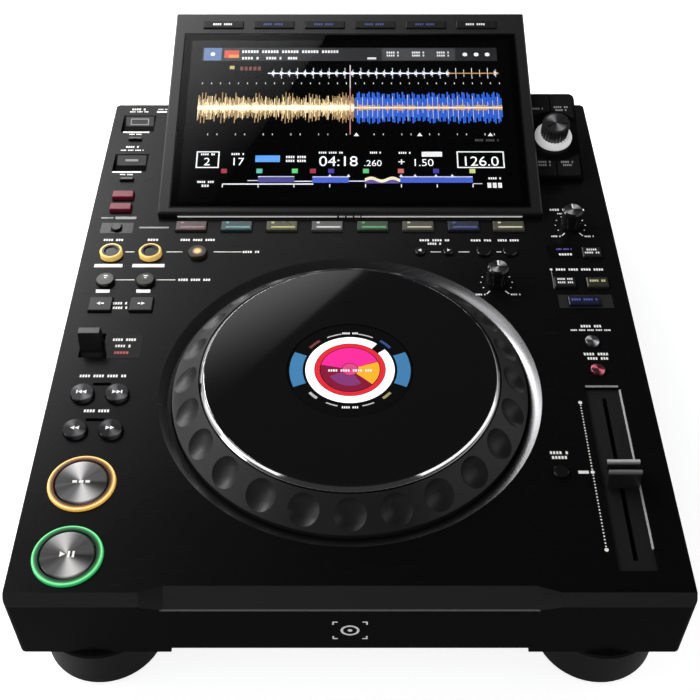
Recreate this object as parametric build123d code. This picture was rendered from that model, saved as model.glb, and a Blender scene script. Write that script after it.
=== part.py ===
"""Club media player: a flat console with a jog dial, a tilted screen and columns of controls.

Millimetres, +Z up, +X to the user's right, front at -Y. The origin lies on the table, under the middle
of the player's outline. The pieces are modelled from the deck: x from the centre line, y back from the
front face, z up from the deck surface. save() moves them to the table frame.
"""

from build123d import *
import math
import os

os.makedirs("parts", exist_ok=True)

# Walls and edges
WALL = 3.0
POCKET_WALL = 2.0
CORNER_RADIUS = 3.0
EDGE_BEVEL = 5.0  # bevel along the front of the deck
LIP_RUNOUT = 11.5  # the middle of that bevel is cut back further
LIP_DECK_CUT = 8.7
LIP_FACE_CUT = 7.9
SHEET = 1.5  # chassis and rear panel
SHEET_GAP = 0.2
CHASSIS_FLANGE = 10.0
PANEL_INSET = 2.0

# Jog dial: plate, dial ring and well, one outside the other
DISPLAY_RADIUS = 34.0
DISPLAY_GAP = 0.4
DISPLAY_THICKNESS = 2.8
PLATE_RADIUS = 81.3
PLATE_TOP_Z = 14.5
PLATE_THICKNESS = 3.0
PLATE_BEVEL = 2.2
PLATE_RIB = 2.5
PLATE_PRESS = 0.3
PLATE_GAP = 0.7
DIAL_TOP_RADIUS = PLATE_RADIUS + PLATE_GAP
DIAL_CONE = 15.5  # width of the band of finger dimples
DIAL_RADIUS = DIAL_TOP_RADIUS + DIAL_CONE
DIAL_STEP = 0.1  # from the plate's bevel down to the dial's inner edge
DIAL_TOP_Z = PLATE_TOP_Z - PLATE_BEVEL - DIAL_STEP
DIAL_EDGE_Z = -1.0
DIAL_SKIRT = 8.0
DIAL_SHELL = 5.2  # thickness under the finger dimples
DIAL_RIM = 3.0
WEB_Z = 3.0
WEB_THICKNESS = 3.0
DIMPLE_COUNT = 24
DIMPLE_DIAMETER = 17.0
DIMPLE_DEPTH = 3.0
COLUMN_RADIUS = 30.0
COLUMN_WALL = 6.0
COLUMN_FIT = 0.08
HUB_WALL = 4.0
HUB_LOW_Z = -8.0
HUB_TOP_Z = 8.0
AXIAL_GAP = 0.4
WELL_GAP = 7.5
WELL_RADIUS = DIAL_RADIUS + WELL_GAP
WELL_DEPTH = 12.0
WELL_TAPER = 6.0  # the well is this much narrower at its floor
WELL_WALL = 2.5
WELL_LEDGE = 21.0  # the well's floor is a ring of this width
WELL_FLOOR_RADIUS = WELL_RADIUS - WELL_TAPER - WELL_LEDGE
BASE_OVERLAP = 14.0
BASE_THICKNESS = 3.0
WELL_FRONT = 30.7  # deck in front of the well
JOG_Y = WELL_FRONT + WELL_RADIUS
BAND_Y = JOG_Y + WELL_RADIUS  # rear edge of the well, where the band of keys starts

# Tilted screen behind the band of keys
SCREEN_TILT = 14.2
GLASS_WIDTH = 229.4
GLASS_LENGTH = 149.3
GLASS_THICKNESS = 1.6
GLASS_GAP = 0.2
GLASS_LEDGE = 5.0  # the glass rests on a ledge this wide
LEDGE_THICKNESS = 2.0
BEZEL_SIDE = 7.1
BEZEL_BOTTOM = 4.1
BEZEL_TOP = 19.7
HOUSING_WIDTH = GLASS_WIDTH + 2 * BEZEL_SIDE
HOUSING_LENGTH = BEZEL_BOTTOM + GLASS_LENGTH + BEZEL_TOP
HOUSING_THICKNESS = 13.0
HOUSING_FRONT = BAND_Y + 38.9
HOUSING_LIFT = 4.0  # height of the housing's face at its lower edge
HOUSING_WALL = 2.5
HOUSING_CHAMFER = 1.0
LCD_MARGIN = 3.5  # the panel is wider than the window by this on each side
LCD_THICKNESS = 4.5
SCREEN_KEY_COUNT = 6
SCREEN_KEY_MARGIN = 19.8  # from the housing's side to the row of keys
SCREEN_KEY_WIDTH = 27.5
SCREEN_KEY_LENGTH = 6.4
SCREEN_KEY_SETBACK = 11.7  # from the housing's far edge to the middle of the keys
SCREEN_KEY_RISE = 0.9
PEDESTAL_INSET = 9.8
PEDESTAL_SETBACK = 46.4
PEDESTAL_REAR_GAP = 8.0
CABLE_SLOT = (60.0, 30.0)

# Cabinet: as wide as the screen and the strips beside it, as deep as the rows of controls
SIDE_STRIP = 42.7
BODY_WIDTH = HOUSING_WIDTH + 2 * SIDE_STRIP
RIGHT = BODY_WIDTH / 2
LEFT = -RIGHT
STICK_Y = BAND_Y + 86.4  # front edge of the first scoop
STICK_PITCH = 44.3
SCOOP_WIDTH = 22.6
SCOOP_LENGTH = 19.0
SCOOP_DEPTH = 4.5
REAR_MARGIN = 12.6
BODY_DEPTH = STICK_Y + STICK_PITCH + SCOOP_LENGTH + REAR_MARGIN
DECK_HEIGHT = 75.8  # table to deck
SKIRT_HEIGHT = 46.6  # deck to the lower edge of the side walls
FOOT_RADIUS = 31.0
FOOT_CHAMFER = 3.5
FOOT_EDGE = 1.0
FOOT_BOSS = 24.0  # the foot's narrower top, behind the skirt's lower edge
FOOT_GAP = 0.7  # between the foot's shoulder and that edge
FOOT_INSET = 36.0
FOOT_OVERHANG = 3.0  # the front feet reach this far in front of the front face
REAR_FOOT_INSET = 9.0
ARCH_RISE = 3.8  # the front wall is shorter between the feet
ARCH_RUNOUT = 8.5

# Keys: a cap through the deck, a retaining flange under it and a plunger over its switch
KEY_GAP = 0.35
KEY_EDGE = 0.5
KEY_TRAVEL = 1.0
FLANGE_LIP = 1.0
FLANGE_THICKNESS = 1.2
FLANGE_GAP = 0.3
PLUNGER_SIDE = 2.4
PLUNGER_GAP = 0.25
BOARD_DROP = 11.0  # deck to the upper face of the key boards
BOARD_THICKNESS = 1.6
BOARD_GAP = 1.0
BOARD_LEDGE = 4.0
SMALL_BOARD = 18.0
POST_SIDE = 3.0  # posts under the deck, down to the boards
SWITCH_HEIGHT = 3.5
SWITCH_SIDE = 6.0
RAISED_KEY = 2.5
LOW_KEY = 1.6

# Transport keys and their light rings
TRANSPORT_X = LEFT + 27.5
PLAY_Y = 25.3
CUE_Y = 69.2
TRANSPORT_DIAMETER = 26.6
TRANSPORT_RISE = 1.9
RING_GAP = 1.0
RING_WIDTH = 3.1
RING_INNER = TRANSPORT_DIAMETER / 2 + RING_GAP
RING_OUTER = RING_INNER + RING_WIDTH
RING_RISE = 1.5
RING_EDGE = 0.7
RING_FLANGE = 1.4
RING_LIP = 1.5

# Left-hand columns: x from the side, rows from the dial's axis or from the band behind the well
LEFT_X = LEFT + 18.0
SECOND_X = LEFT_X + 24.0
SEARCH_MIDDLE_X = LEFT + 27.9
SEARCH_PITCH = 19.0
SEARCH_DIAMETER = 12.8
SEARCH_Y = JOG_Y - 31.3
TRACK_SEARCH_Y = JOG_Y - 5.8
LEVER_Y = JOG_Y + 31.6
BEAT_JUMP_Y = JOG_Y + 64.3
BEAT_JUMP_SIZE = (13.6, 11.4)
BEAT_LOOP_Y = JOG_Y + 84.6
BEAT_LOOP_DIAMETER = 11.0
LOOP_Y = BAND_Y + 4.6
LOOP_DIAMETER = 13.8
LOOP_RISE = 3.0
LOOP_RIM = 2.0
LOOP_DISH = 0.8
RELOOP_X = LEFT + 71.0
RELOOP_DIAMETER = 11.4
TIME_MODE_Y = BAND_Y + 28.6
TIME_MODE_DIAMETER = 6.4
SLIP_Y = BAND_Y + 47.8
QUANTIZE_Y = BAND_Y + 60.3
RED_KEY_SIZE = (13.6, 6.6)

# Row in front of the screen
HOT_CUE_COUNT = 8
HOT_CUE_MARGIN = 12.25  # the row ends this far inside the screen housing
HOT_CUE_SIZE = (19.6, 8.8)
HOT_CUE_Y = BAND_Y + 29.7
CALL_X = (RIGHT - 121.4, RIGHT - 104.1)
CALL_DIAMETER = 6.4
MEMORY_X = (RIGHT - 82.3, RIGHT - 66.1)
MEMORY_DIAMETER = 8.8
MEMORY_Y = BAND_Y + 6.3
POST_X = (-70.0, -20.0, 22.0)

# Right-hand columns
RIGHT_X = RIGHT - 26.5
SYNC_MIDDLE_X = RIGHT - 26.25
SYNC_PITCH = 19.5
SYNC_Y = JOG_Y + 83.0
SYNC_SIZE = (12.6, 8.4)
KEY_SYNC_Y = JOG_Y + 67.1
KEY_SYNC_SIZE = (18.6, 7.0)
JOG_MODE_X = RIGHT - 16.1
JOG_MODE_Y = BAND_Y + 4.9
JOG_MODE_SIZE = (11.4, 9.0)
TEMPO_RANGE_Y = JOG_Y + 34.5
MASTER_TEMPO_Y = JOG_Y + 12.3
TEMPO_KEY_DIAMETER = 8.0
TEMPO_RESET_REACH = 18.7  # out from the well's edge
TEMPO_RESET_ANGLE = -28.6
ADJUST_KNOB_REACH = 16.5
ADJUST_KNOB_ANGLE = 43.73
VINYL_KNOB_SPOT = (RIGHT - 25.7, BAND_Y + 31.5)
KNOB_RADIUS = 6.3
KNOB_EDGE = 1.0
KNOB_HEIGHT = 13.0
KNOB_SHAFT = 3.0
SHAFT_GAP = 0.4

# Stick sockets in the deck
STICK_SLOT = 5.8
POCKET_DEPTH = 9.0
SOCKET_INNER = (12.5, 5.1)
SOCKET_WALL = 0.95
SOCKET_DEPTH = 13.0
SOCKET_TONGUE = (11.0, 1.8)
TONGUE_OFFSET = 0.8
STOP_KEY_SIZE = (8.8, 2.8)
STOP_KEY_SETBACK = 9.0  # in front of each scoop

# Direction lever on its drum
LEVER_WIDTH = 12.4
LEVER_TOP_Z = 12.0
LEVER_TOP = (-2.3, 2.8)  # front and back of the top, from the pivot
LEVER_FOOT = (-4.4, 4.2)
DRUM_RADIUS = 9.0
DRUM_SUNK = 0.4
LEVER_GAP = 0.5
TRUNNION_RADIUS = 2.0
TRUNNION_FIT = 0.06
TRUNNION_LENGTH = 3.0
EAR_HALF_LENGTH = 4.5

# Tempo fader
FADER_X = RIGHT - 25.7
FADER_Y = 75.9  # middle of its face plate and of its stroke
FADER_STROKE = 100.0
FADER_END = 8.7  # face plate beyond each end of the stroke
FADER_PLATE = (19.0, FADER_STROKE + 2 * FADER_END)
FADER_PLATE_INSET = 1.2
FADER_PLATE_THICKNESS = 2.4
FADER_REST = -4.4  # where the knob stands, from the middle of the stroke
FADER_BODY_WIDTH = 15.0
FADER_BODY_DEPTH = 12.0
FADER_FLANGE = 1.4
FADER_FLANGE_LIP = 2.0
STEM = (1.8, 4.0)
STEM_GAP = 0.35
SLIDER = (7.0, 9.0, 2.0)
CAP_WIDTH = 16.6
CAP_BASE_Z = 0.6
CAP_BASE_HEIGHT = 2.0
CAP_HALF_LENGTH = 5.6
CAP_RIDGE_HALF = 4.5
CAP_RIDGE_INNER = 2.6
CAP_RIDGE_Z = 12.0
CAP_RIDGE_EDGE = 0.6
CAP_VALLEY_HALF = 1.1
CAP_VALLEY_Z = 7.6

# Selector plinth
PLINTH_GAP = 0.5  # beside the screen housing
PLINTH_WIDTH = 30.4
PLINTH_FRONT = BAND_Y + 75.8
PLINTH_LIFT = 2.9
PLINTH_LENGTH = 72.0
PLINTH_CORNER = 4.0
PLINTH_WALL = 2.5
PLINTH_SEAT = 1.0  # it stands on this width of the deck beside its opening
SELECTOR_OFFSET = 13.6  # of the knob's axis from the plinth's left side
SELECTOR_S = 34.7
DISH_RADIUS = 20.5
DISH_DEPTH = 1.0
PLINTH_KEY_FRONT = (1.6, 19.0)
PLINTH_KEY_REAR = (50.4, 70.0)
PLINTH_KEY_MARGIN = 1.4
PLINTH_KEY_SPLIT = 0.8
PLINTH_KEY_RISE = 0.7
SELECTOR_RADIUS = 12.4
SELECTOR_SKIRT = 3.2
SELECTOR_SKIRT_EDGE = 0.8
SELECTOR_SKIRT_BEVEL = 1.9
SELECTOR_BARREL = 9.0
SELECTOR_HEIGHT = 14.0
SELECTOR_TOP = 5.0  # solid end of the knob, over its bore
SELECTOR_TEETH = 24
SELECTOR_TOOTH = 0.5
SELECTOR_PUSH = 0.5
SELECTOR_SHAFT = 3.0
SELECTOR_COLLAR = 1.4
SELECTOR_COLLAR_LENGTH = 1.0
SELECTOR_FIT = 0.06
SELECTOR_BOARD_DROP = 8.0
SELECTOR_BOARD_END = 10.0
ENCODER_SIDE = 12.0

# Rear connectors, (x, z of the middle)
CONNECTOR_Z = -24.0
CONNECTOR_BODY = 14.0  # how far a connector reaches in from the panel
CONNECTOR_GAP = 0.2
CONNECTOR_LIP = 0.6  # and how far it stands out
INLET_SPOT = (RIGHT - 39.5, CONNECTOR_Z)
INLET_SIZE = (28.0, 20.4)
INLET_OPENING = (24.4, 16.6)
INLET_DEPTH = 16.0
INLET_LIP = 1.5
INLET_PIN = (2.0, 4.0)
INLET_PIN_PITCH = (14.0, 4.0)
PIN_RECESS = 5.0
POWER_SPOT = (RIGHT - 72.5, CONNECTOR_Z)
POWER_SIZE = 10.0
POWER_RISE = 3.0
COMPUTER_SPOT = (RIGHT - 119.5, CONNECTOR_Z)
COMPUTER_SIZE = (12.0, 11.0)
COMPUTER_OPENING = (8.6, 7.9)
COMPUTER_TONGUE = (5.6, 3.2)
COMPUTER_DEPTH = 9.0
NETWORK_SPOT = (RIGHT - 149.5, CONNECTOR_Z)
NETWORK_SIZE = (16.0, 13.6)
NETWORK_OPENING = (11.8, 8.2)
NETWORK_DEPTH = 13.0
JACK_X = (LEFT + 124.5, LEFT + 69.5, LEFT + 51.5)  # digital out, line out left and right
JACK_RADIUS = 4.15
JACK_LENGTH = 9.0
JACK_HOLE = 1.7
JACK_COLLAR = 5.6  # moulded collar round the barrel's root
JACK_BLOCK = 13.0

# Main board and power supply on the chassis floor
SUPPLY_SIZE = (60.0, 140.0, 26.0)
SUPPLY_GAP = (4.8, 31.0)  # from the chassis flange and from the rear panel
MAIN_BOARD_SIZE = (180.0, 190.0)
MAIN_BOARD_GAP = (5.0, 61.0)  # from the power supply and from the rear panel
MAIN_BOARD_LIFT = 6.0
STANDOFF_SIDE = 6.0
STANDOFF_INSET = 10.0
HEAT_SINK = (40.0, 40.0, 9.0)

TILT = math.radians(SCREEN_TILT)
SCREEN_REACH = HOUSING_FRONT + HOUSING_LENGTH * math.cos(TILT) + HOUSING_THICKNESS * math.sin(TILT)
FRONT_Y = FOOT_OVERHANG - (FOOT_OVERHANG + SCREEN_REACH) / 2
TABLE = Pos(0, FRONT_Y, DECK_HEIGHT)
SCREEN = Pos(0, HOUSING_FRONT, HOUSING_LIFT) * Rot(SCREEN_TILT, 0, 0)
PLINTH = Pos(0, PLINTH_FRONT, PLINTH_LIFT) * Rot(SCREEN_TILT, 0, 0)
INNER_X = RIGHT - WALL
CHASSIS_Z = ARCH_RISE - SKIRT_HEIGHT
PANEL_Y = BODY_DEPTH - PANEL_INSET
FAR = 1000.0


def save(name, *shapes):
    """Write one sub-part, moved from the deck frame to the table frame."""
    pieces = [TABLE * solid for shape in shapes for solid in shape.solids()]
    export_step(pieces[0] if len(pieces) == 1 else Compound(children=pieces), f"parts/{name}.step")


def block(x, y, z):
    """Box from three (low, high) pairs."""
    size = [high - low for low, high in (x, y, z)]
    return Pos(x[0], y[0], z[0]) * Box(*size, align=(Align.MIN, Align.MIN, Align.MIN))


def around(middle, width):
    """Low and high end of a width about its middle."""
    return middle - width / 2, middle + width / 2


def row(count, pitch):
    """Places of a row of like pieces, centred across the player."""
    return [(i - (count - 1) / 2) * pitch for i in range(count)]


def beside_well(reach, angle):
    """Spot beside the dial's well, out from its edge at an angle about the dial's axis."""
    radius = WELL_RADIUS + reach
    turn = math.radians(angle)
    return radius * math.cos(turn), JOG_Y + radius * math.sin(turn)


def turned(*points):
    """Solid of revolution about Z from a closed (radius, z) outline."""
    return revolve(Plane.XZ * make_face(Polyline(*points, close=True)), Axis.Z)


def side_profile(points, x):
    """Solid between two x values from a closed (y, z) outline."""
    face = Plane.YZ * make_face(Polyline(*points, close=True))
    return Pos(x[0], 0, 0) * extrude(face, x[1] - x[0])


# ------------------------------------------------------------------------------------------ keys
deck_holes = []
switches = []
posts = []


def plunger_tip(travel):
    """Lowest point of a plunger at rest, above its switch by the travel and a gap."""
    return SWITCH_HEIGHT - BOARD_DROP + travel + PLUNGER_GAP


def key_body(outline, rise, seat=WALL, travel=KEY_TRAVEL):
    """Key at the origin: bevelled cap, flange under its seat and plunger over the switch."""
    flange_top = -(seat + FLANGE_GAP)
    cap = Pos(0, 0, flange_top) * extrude(outline, rise - flange_top)
    cap = chamfer(cap.edges().group_by(Axis.Z)[-1], KEY_EDGE)
    size = outline.bounding_box().size
    across = around(0, size.X + 2 * FLANGE_LIP)
    along = around(0, size.Y + 2 * FLANGE_LIP)
    flange_low = flange_top - FLANGE_THICKNESS
    flange = block(across, along, (flange_low, flange_top))
    stub = around(0, PLUNGER_SIDE)
    return cap + flange + block(stub, stub, (plunger_tip(travel), flange_low))


def set_keys(name, outline, spots, rise, seat=WALL, dish=None):
    """Save one key, or a group of like keys, and note the deck holes and switches they need."""
    key = key_body(outline, rise, seat)
    if dish:
        key -= dish
    save(name, *[Pos(x, y, 0) * key for x, y in spots])
    for x, y in spots:
        switches.append((x, y))
        if seat == WALL:
            hole = offset(outline, KEY_GAP, kind=Kind.INTERSECTION)
            deck_holes.append(Pos(x, y, -2 * WALL) * extrude(hole, 3 * WALL))


def light_ring(x, y):
    """Translucent ring pressed into the deck round a transport key, from below."""
    ring = turned(
        (RING_INNER, -WALL - RING_FLANGE),
        (RING_OUTER + RING_LIP, -WALL - RING_FLANGE),
        (RING_OUTER + RING_LIP, -WALL),
        (RING_OUTER, -WALL),
        (RING_OUTER, RING_RISE - RING_EDGE),
        (RING_OUTER - RING_EDGE, RING_RISE),
        (RING_INNER, RING_RISE),
    )
    deck_holes.append(Pos(x, y, 0) * Cylinder(RING_OUTER + CONNECTOR_GAP, 3 * WALL))
    return Pos(x, y, 0) * ring


transport_seat = WALL + RING_FLANGE
for name, y in (("play_pause_key", PLAY_Y), ("cue_key", CUE_Y)):
    set_keys(name, Circle(TRANSPORT_DIAMETER / 2), [(TRANSPORT_X, y)], TRANSPORT_RISE, transport_seat)
save("light_rings", light_ring(TRANSPORT_X, PLAY_Y), light_ring(TRANSPORT_X, CUE_Y))

search_x = around(SEARCH_MIDDLE_X, SEARCH_PITCH)
for name, y in (("search", SEARCH_Y), ("track_search", TRACK_SEARCH_Y)):
    for way, x in zip(("back", "forward"), search_x):
        set_keys(f"{name}_{way}_key", Circle(SEARCH_DIAMETER / 2), [(x, y)], RAISED_KEY)

for way, x in (("back", LEFT_X), ("forward", SECOND_X)):
    set_keys(f"beat_jump_{way}_key", Rectangle(*BEAT_JUMP_SIZE), [(x, BEAT_JUMP_Y)], LOW_KEY)

beat_loop_spots = [(LEFT_X, BEAT_LOOP_Y), (SECOND_X, BEAT_LOOP_Y)]
set_keys("beat_loop_keys", Circle(BEAT_LOOP_DIAMETER / 2), beat_loop_spots, RAISED_KEY)

dish_radius = LOOP_DIAMETER / 2 - LOOP_RIM
loop_dish = Pos(0, 0, LOOP_RISE) * Cone(dish_radius - 2 * LOOP_DISH, dish_radius, 2 * LOOP_DISH)
for name, x in (("loop_in_key", LEFT_X), ("loop_out_key", SECOND_X)):
    set_keys(name, Circle(LOOP_DIAMETER / 2), [(x, LOOP_Y)], LOOP_RISE, dish=loop_dish)
set_keys("reloop_key", Circle(RELOOP_DIAMETER / 2), [(RELOOP_X, LOOP_Y)], RAISED_KEY)
set_keys("time_mode_key", Circle(TIME_MODE_DIAMETER / 2), [(LEFT_X, TIME_MODE_Y)], LOW_KEY)
set_keys("slip_key", Rectangle(*RED_KEY_SIZE), [(LEFT_X, SLIP_Y)], RAISED_KEY)
set_keys("quantize_key", Rectangle(*RED_KEY_SIZE), [(LEFT_X, QUANTIZE_Y)], RAISED_KEY)

hot_cue_reach = HOUSING_WIDTH - 2 * HOT_CUE_MARGIN - HOT_CUE_SIZE[0]
hot_cue_x = row(HOT_CUE_COUNT, hot_cue_reach / (HOT_CUE_COUNT - 1))
for number, x in enumerate(hot_cue_x, 1):
    set_keys(f"hot_cue_{number}_key", Rectangle(*HOT_CUE_SIZE), [(x, HOT_CUE_Y)], LOW_KEY)

reset_spot = beside_well(TEMPO_RESET_REACH, TEMPO_RESET_ANGLE)
set_keys("call_keys", Circle(CALL_DIAMETER / 2), [(x, MEMORY_Y) for x in CALL_X], LOW_KEY)
set_keys("memory_keys", Circle(MEMORY_DIAMETER / 2), [(x, MEMORY_Y) for x in MEMORY_X], LOW_KEY)
for name, x in zip(("beat_sync_key", "master_key"), around(SYNC_MIDDLE_X, SYNC_PITCH)):
    set_keys(name, Rectangle(*SYNC_SIZE), [(x, SYNC_Y)], LOW_KEY)
set_keys("key_sync_key", Rectangle(*KEY_SYNC_SIZE), [(RIGHT_X, KEY_SYNC_Y)], LOW_KEY)
set_keys("jog_mode_key", Rectangle(*JOG_MODE_SIZE), [(JOG_MODE_X, JOG_MODE_Y)], LOW_KEY)
set_keys("tempo_range_key", Circle(TEMPO_KEY_DIAMETER / 2), [(RIGHT_X, TEMPO_RANGE_Y)], LOW_KEY)
set_keys("master_tempo_key", Circle(TEMPO_KEY_DIAMETER / 2), [(RIGHT_X, MASTER_TEMPO_Y)], LOW_KEY)
set_keys("tempo_reset_key", Circle(TEMPO_KEY_DIAMETER / 2), [reset_spot], LOW_KEY)
stick_rows = (STICK_Y, STICK_Y + STICK_PITCH)
stop_spots = [(LEFT_X, y - STOP_KEY_SETBACK) for y in stick_rows]
set_keys("stick_stop_keys", Rectangle(*STOP_KEY_SIZE), stop_spots, LOW_KEY)


# ----------------------------------------------------------------------------------- small knobs
def knob(x, y):
    """Round knob on its shaft, with a pointer groove on the top towards the screen."""
    body = turned(
        (0, -BOARD_DROP + SWITCH_HEIGHT + AXIAL_GAP),
        (KNOB_SHAFT, -BOARD_DROP + SWITCH_HEIGHT + AXIAL_GAP),
        (KNOB_SHAFT, AXIAL_GAP),
        (KNOB_RADIUS, AXIAL_GAP),
        (KNOB_RADIUS, KNOB_HEIGHT - KNOB_EDGE),
        (KNOB_RADIUS - KNOB_EDGE, KNOB_HEIGHT),
        (0, KNOB_HEIGHT),
    )
    groove_z = (KNOB_HEIGHT - KNOB_EDGE, KNOB_HEIGHT + 1)
    groove = block(around(0, KNOB_EDGE), (KNOB_EDGE / 2, KNOB_RADIUS + 1), groove_z)
    deck_holes.append(Pos(x, y, 0) * Cylinder(KNOB_SHAFT + SHAFT_GAP, 3 * WALL))
    switches.append((x, y))
    return Pos(x, y, 0) * (body - groove)


adjust_spot = beside_well(ADJUST_KNOB_REACH, ADJUST_KNOB_ANGLE)
save("jog_adjust_knob", knob(*adjust_spot))
save("vinyl_speed_knob", knob(*VINYL_KNOB_SPOT))


# ---------------------------------------------------------------------------------- tempo fader
def fader_unit():
    """Slide control: face plate in the deck, flange under it, and a body with the slider's channel."""
    plate_x = around(FADER_X, FADER_PLATE[0])
    plate_y = around(FADER_Y, FADER_PLATE[1])
    flange_x = around(FADER_X, FADER_PLATE[0] + 2 * FADER_FLANGE_LIP)
    flange_y = around(FADER_Y, FADER_PLATE[1] + 2 * FADER_FLANGE_LIP)
    body_x = around(FADER_X, FADER_BODY_WIDTH)
    flange_low = -WALL - FADER_FLANGE
    body = block(plate_x, plate_y, (flange_low, -FADER_PLATE_INSET))
    body += block(flange_x, flange_y, (flange_low, -WALL))
    body += block(body_x, plate_y, (flange_low - FADER_BODY_DEPTH, flange_low))
    slot_x = around(FADER_X, STEM[0] + 2 * STEM_GAP)
    slot_y = around(FADER_Y, FADER_STROKE + STEM[1] + 2 * STEM_GAP)
    channel_x = around(FADER_X, SLIDER[0] + 2 * STEM_GAP)
    channel_y = around(FADER_Y, FADER_STROKE + SLIDER[1] + 2 * STEM_GAP)
    body -= block(slot_x, slot_y, (flange_low - FADER_BODY_DEPTH / 2, 1))
    channel_top = -FADER_PLATE_INSET - FADER_PLATE_THICKNESS
    body -= block(channel_x, channel_y, (flange_low - FADER_BODY_DEPTH + WALL, channel_top))
    return body


def fader_knob():
    """Fader cap with two ridges across it and a finger valley between them, on its stem."""
    y = FADER_Y + FADER_REST
    half = [
        (CAP_HALF_LENGTH, CAP_BASE_Z),
        (CAP_HALF_LENGTH, CAP_BASE_Z + CAP_BASE_HEIGHT),
        (CAP_RIDGE_HALF, CAP_RIDGE_Z - CAP_RIDGE_EDGE),
        (CAP_RIDGE_HALF - CAP_RIDGE_EDGE, CAP_RIDGE_Z),
        (CAP_RIDGE_INNER, CAP_RIDGE_Z),
        (CAP_VALLEY_HALF, CAP_VALLEY_Z),
    ]
    front = [(y - reach, z) for reach, z in half]
    back = [(y + reach, z) for reach, z in reversed(half)]
    cap = side_profile(front + back, around(FADER_X, CAP_WIDTH))
    slider_top = -WALL - FADER_FLANGE - WALL
    slider_z = (slider_top - SLIDER[2], slider_top)
    stem = block(around(FADER_X, STEM[0]), around(y, STEM[1]), (slider_top, CAP_BASE_Z))
    return cap + stem + block(around(FADER_X, SLIDER[0]), around(y, SLIDER[1]), slider_z)


save("fader_unit", fader_unit())
save("tempo_fader_knob", fader_knob())
fader_hole_x = around(FADER_X, FADER_PLATE[0] + 2 * SHEET_GAP)
fader_hole_y = around(FADER_Y, FADER_PLATE[1] + 2 * SHEET_GAP)
deck_holes.append(block(fader_hole_x, fader_hole_y, (-2 * WALL, WALL)))


# ------------------------------------------------------------------------------ direction lever
pivot_z = -DRUM_RADIUS - DRUM_SUNK
lever_x = around(LEFT_X, LEVER_WIDTH)
ear_gap = LEVER_WIDTH / 2 + LEVER_GAP


def rod_x(radius, width):
    """Round bar along X through the lever's pivot."""
    return Pos(LEFT_X, LEVER_Y, pivot_z) * Rot(0, 90, 0) * Cylinder(radius, width)


lever_grip = side_profile(
    [
        (LEVER_Y + LEVER_FOOT[0], -2 * DRUM_SUNK),
        (LEVER_Y + LEVER_TOP[0], LEVER_TOP_Z),
        (LEVER_Y + LEVER_TOP[1], LEVER_TOP_Z),
        (LEVER_Y + LEVER_FOOT[1], -2 * DRUM_SUNK),
    ],
    lever_x,
)
lever_grip = chamfer(lever_grip.edges().group_by(Axis.Z)[-1], KEY_EDGE)
lever_grip += block(lever_x, around(LEVER_Y, DRUM_RADIUS / 2), (pivot_z, 0))
trunnions = rod_x(TRUNNION_RADIUS, 2 * (ear_gap + TRUNNION_LENGTH))
save("direction_lever", lever_grip + rod_x(DRUM_RADIUS, LEVER_WIDTH) + trunnions)
lever_hole_x = around(LEFT_X, LEVER_WIDTH + 2 * LEVER_GAP)
lever_hole_y = around(LEVER_Y, 2 * (DRUM_RADIUS + LEVER_GAP))
deck_holes.append(block(lever_hole_x, lever_hole_y, (-2 * WALL, WALL)))


def lever_ears():
    """Two bearing ears that hang from the deck's underside beside the drum."""
    ears = Part()
    for side in (-1, 1):
        low, high = sorted((side * ear_gap, side * (ear_gap + TRUNNION_LENGTH)))
        x = (LEFT_X + low, LEFT_X + high)
        y = around(LEVER_Y, 2 * EAR_HALF_LENGTH)
        ears += block(x, y, (pivot_z - EAR_HALF_LENGTH, -WALL))
    bore = rod_x(TRUNNION_RADIUS + TRUNNION_FIT, BODY_WIDTH / 4)
    return ears - bore


# ------------------------------------------------------------------------------- selector plinth
plinth_x = (HOUSING_WIDTH / 2 + PLINTH_GAP, HOUSING_WIDTH / 2 + PLINTH_GAP + PLINTH_WIDTH)
plinth_inner_x = (plinth_x[0] + PLINTH_WALL, plinth_x[1] - PLINTH_WALL)
selector_x = plinth_x[0] + SELECTOR_OFFSET
plinth_key_x = (
    (plinth_x[0] + PLINTH_KEY_MARGIN, selector_x - PLINTH_KEY_SPLIT / 2),
    (selector_x + PLINTH_KEY_SPLIT / 2, plinth_x[1] - PLINTH_KEY_MARGIN),
)
plinth_opening_x = (plinth_x[0] + PLINTH_SEAT, plinth_x[1] - PLINTH_SEAT)
plinth_opening_y = (PLINTH_FRONT + PLINTH_SEAT, PLINTH_FRONT + PLINTH_LENGTH / 2)
deck_holes.append(block(plinth_opening_x, plinth_opening_y, (-2 * WALL, WALL)))


def plinth_outline(inset):
    """Side view of the plinth; the inset leaves its walls, and opens it below."""
    reach = PLINTH_LENGTH * math.cos(TILT)
    low = -FAR if inset else 0
    drop = inset / math.cos(TILT)
    return [
        (PLINTH_FRONT + inset, low),
        (PLINTH_FRONT + reach - inset, low),
        (PLINTH_FRONT + reach - inset, PLINTH_LIFT + (reach - inset) * math.tan(TILT) - drop),
        (PLINTH_FRONT + inset, PLINTH_LIFT + inset * math.tan(TILT) - drop),
    ]


def plinth_key(x, s, gap):
    """Outline of one plinth key: a rectangle cut off by the dish round the knob."""
    middle = ((x[0] + x[1]) / 2, (s[0] + s[1]) / 2)
    plain = Pos(*middle) * Rectangle(x[1] - x[0] + 2 * gap, s[1] - s[0] + 2 * gap)
    return plain - Pos(selector_x, SELECTOR_S) * Circle(DISH_RADIUS + PLINTH_KEY_SPLIT - gap)


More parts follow.
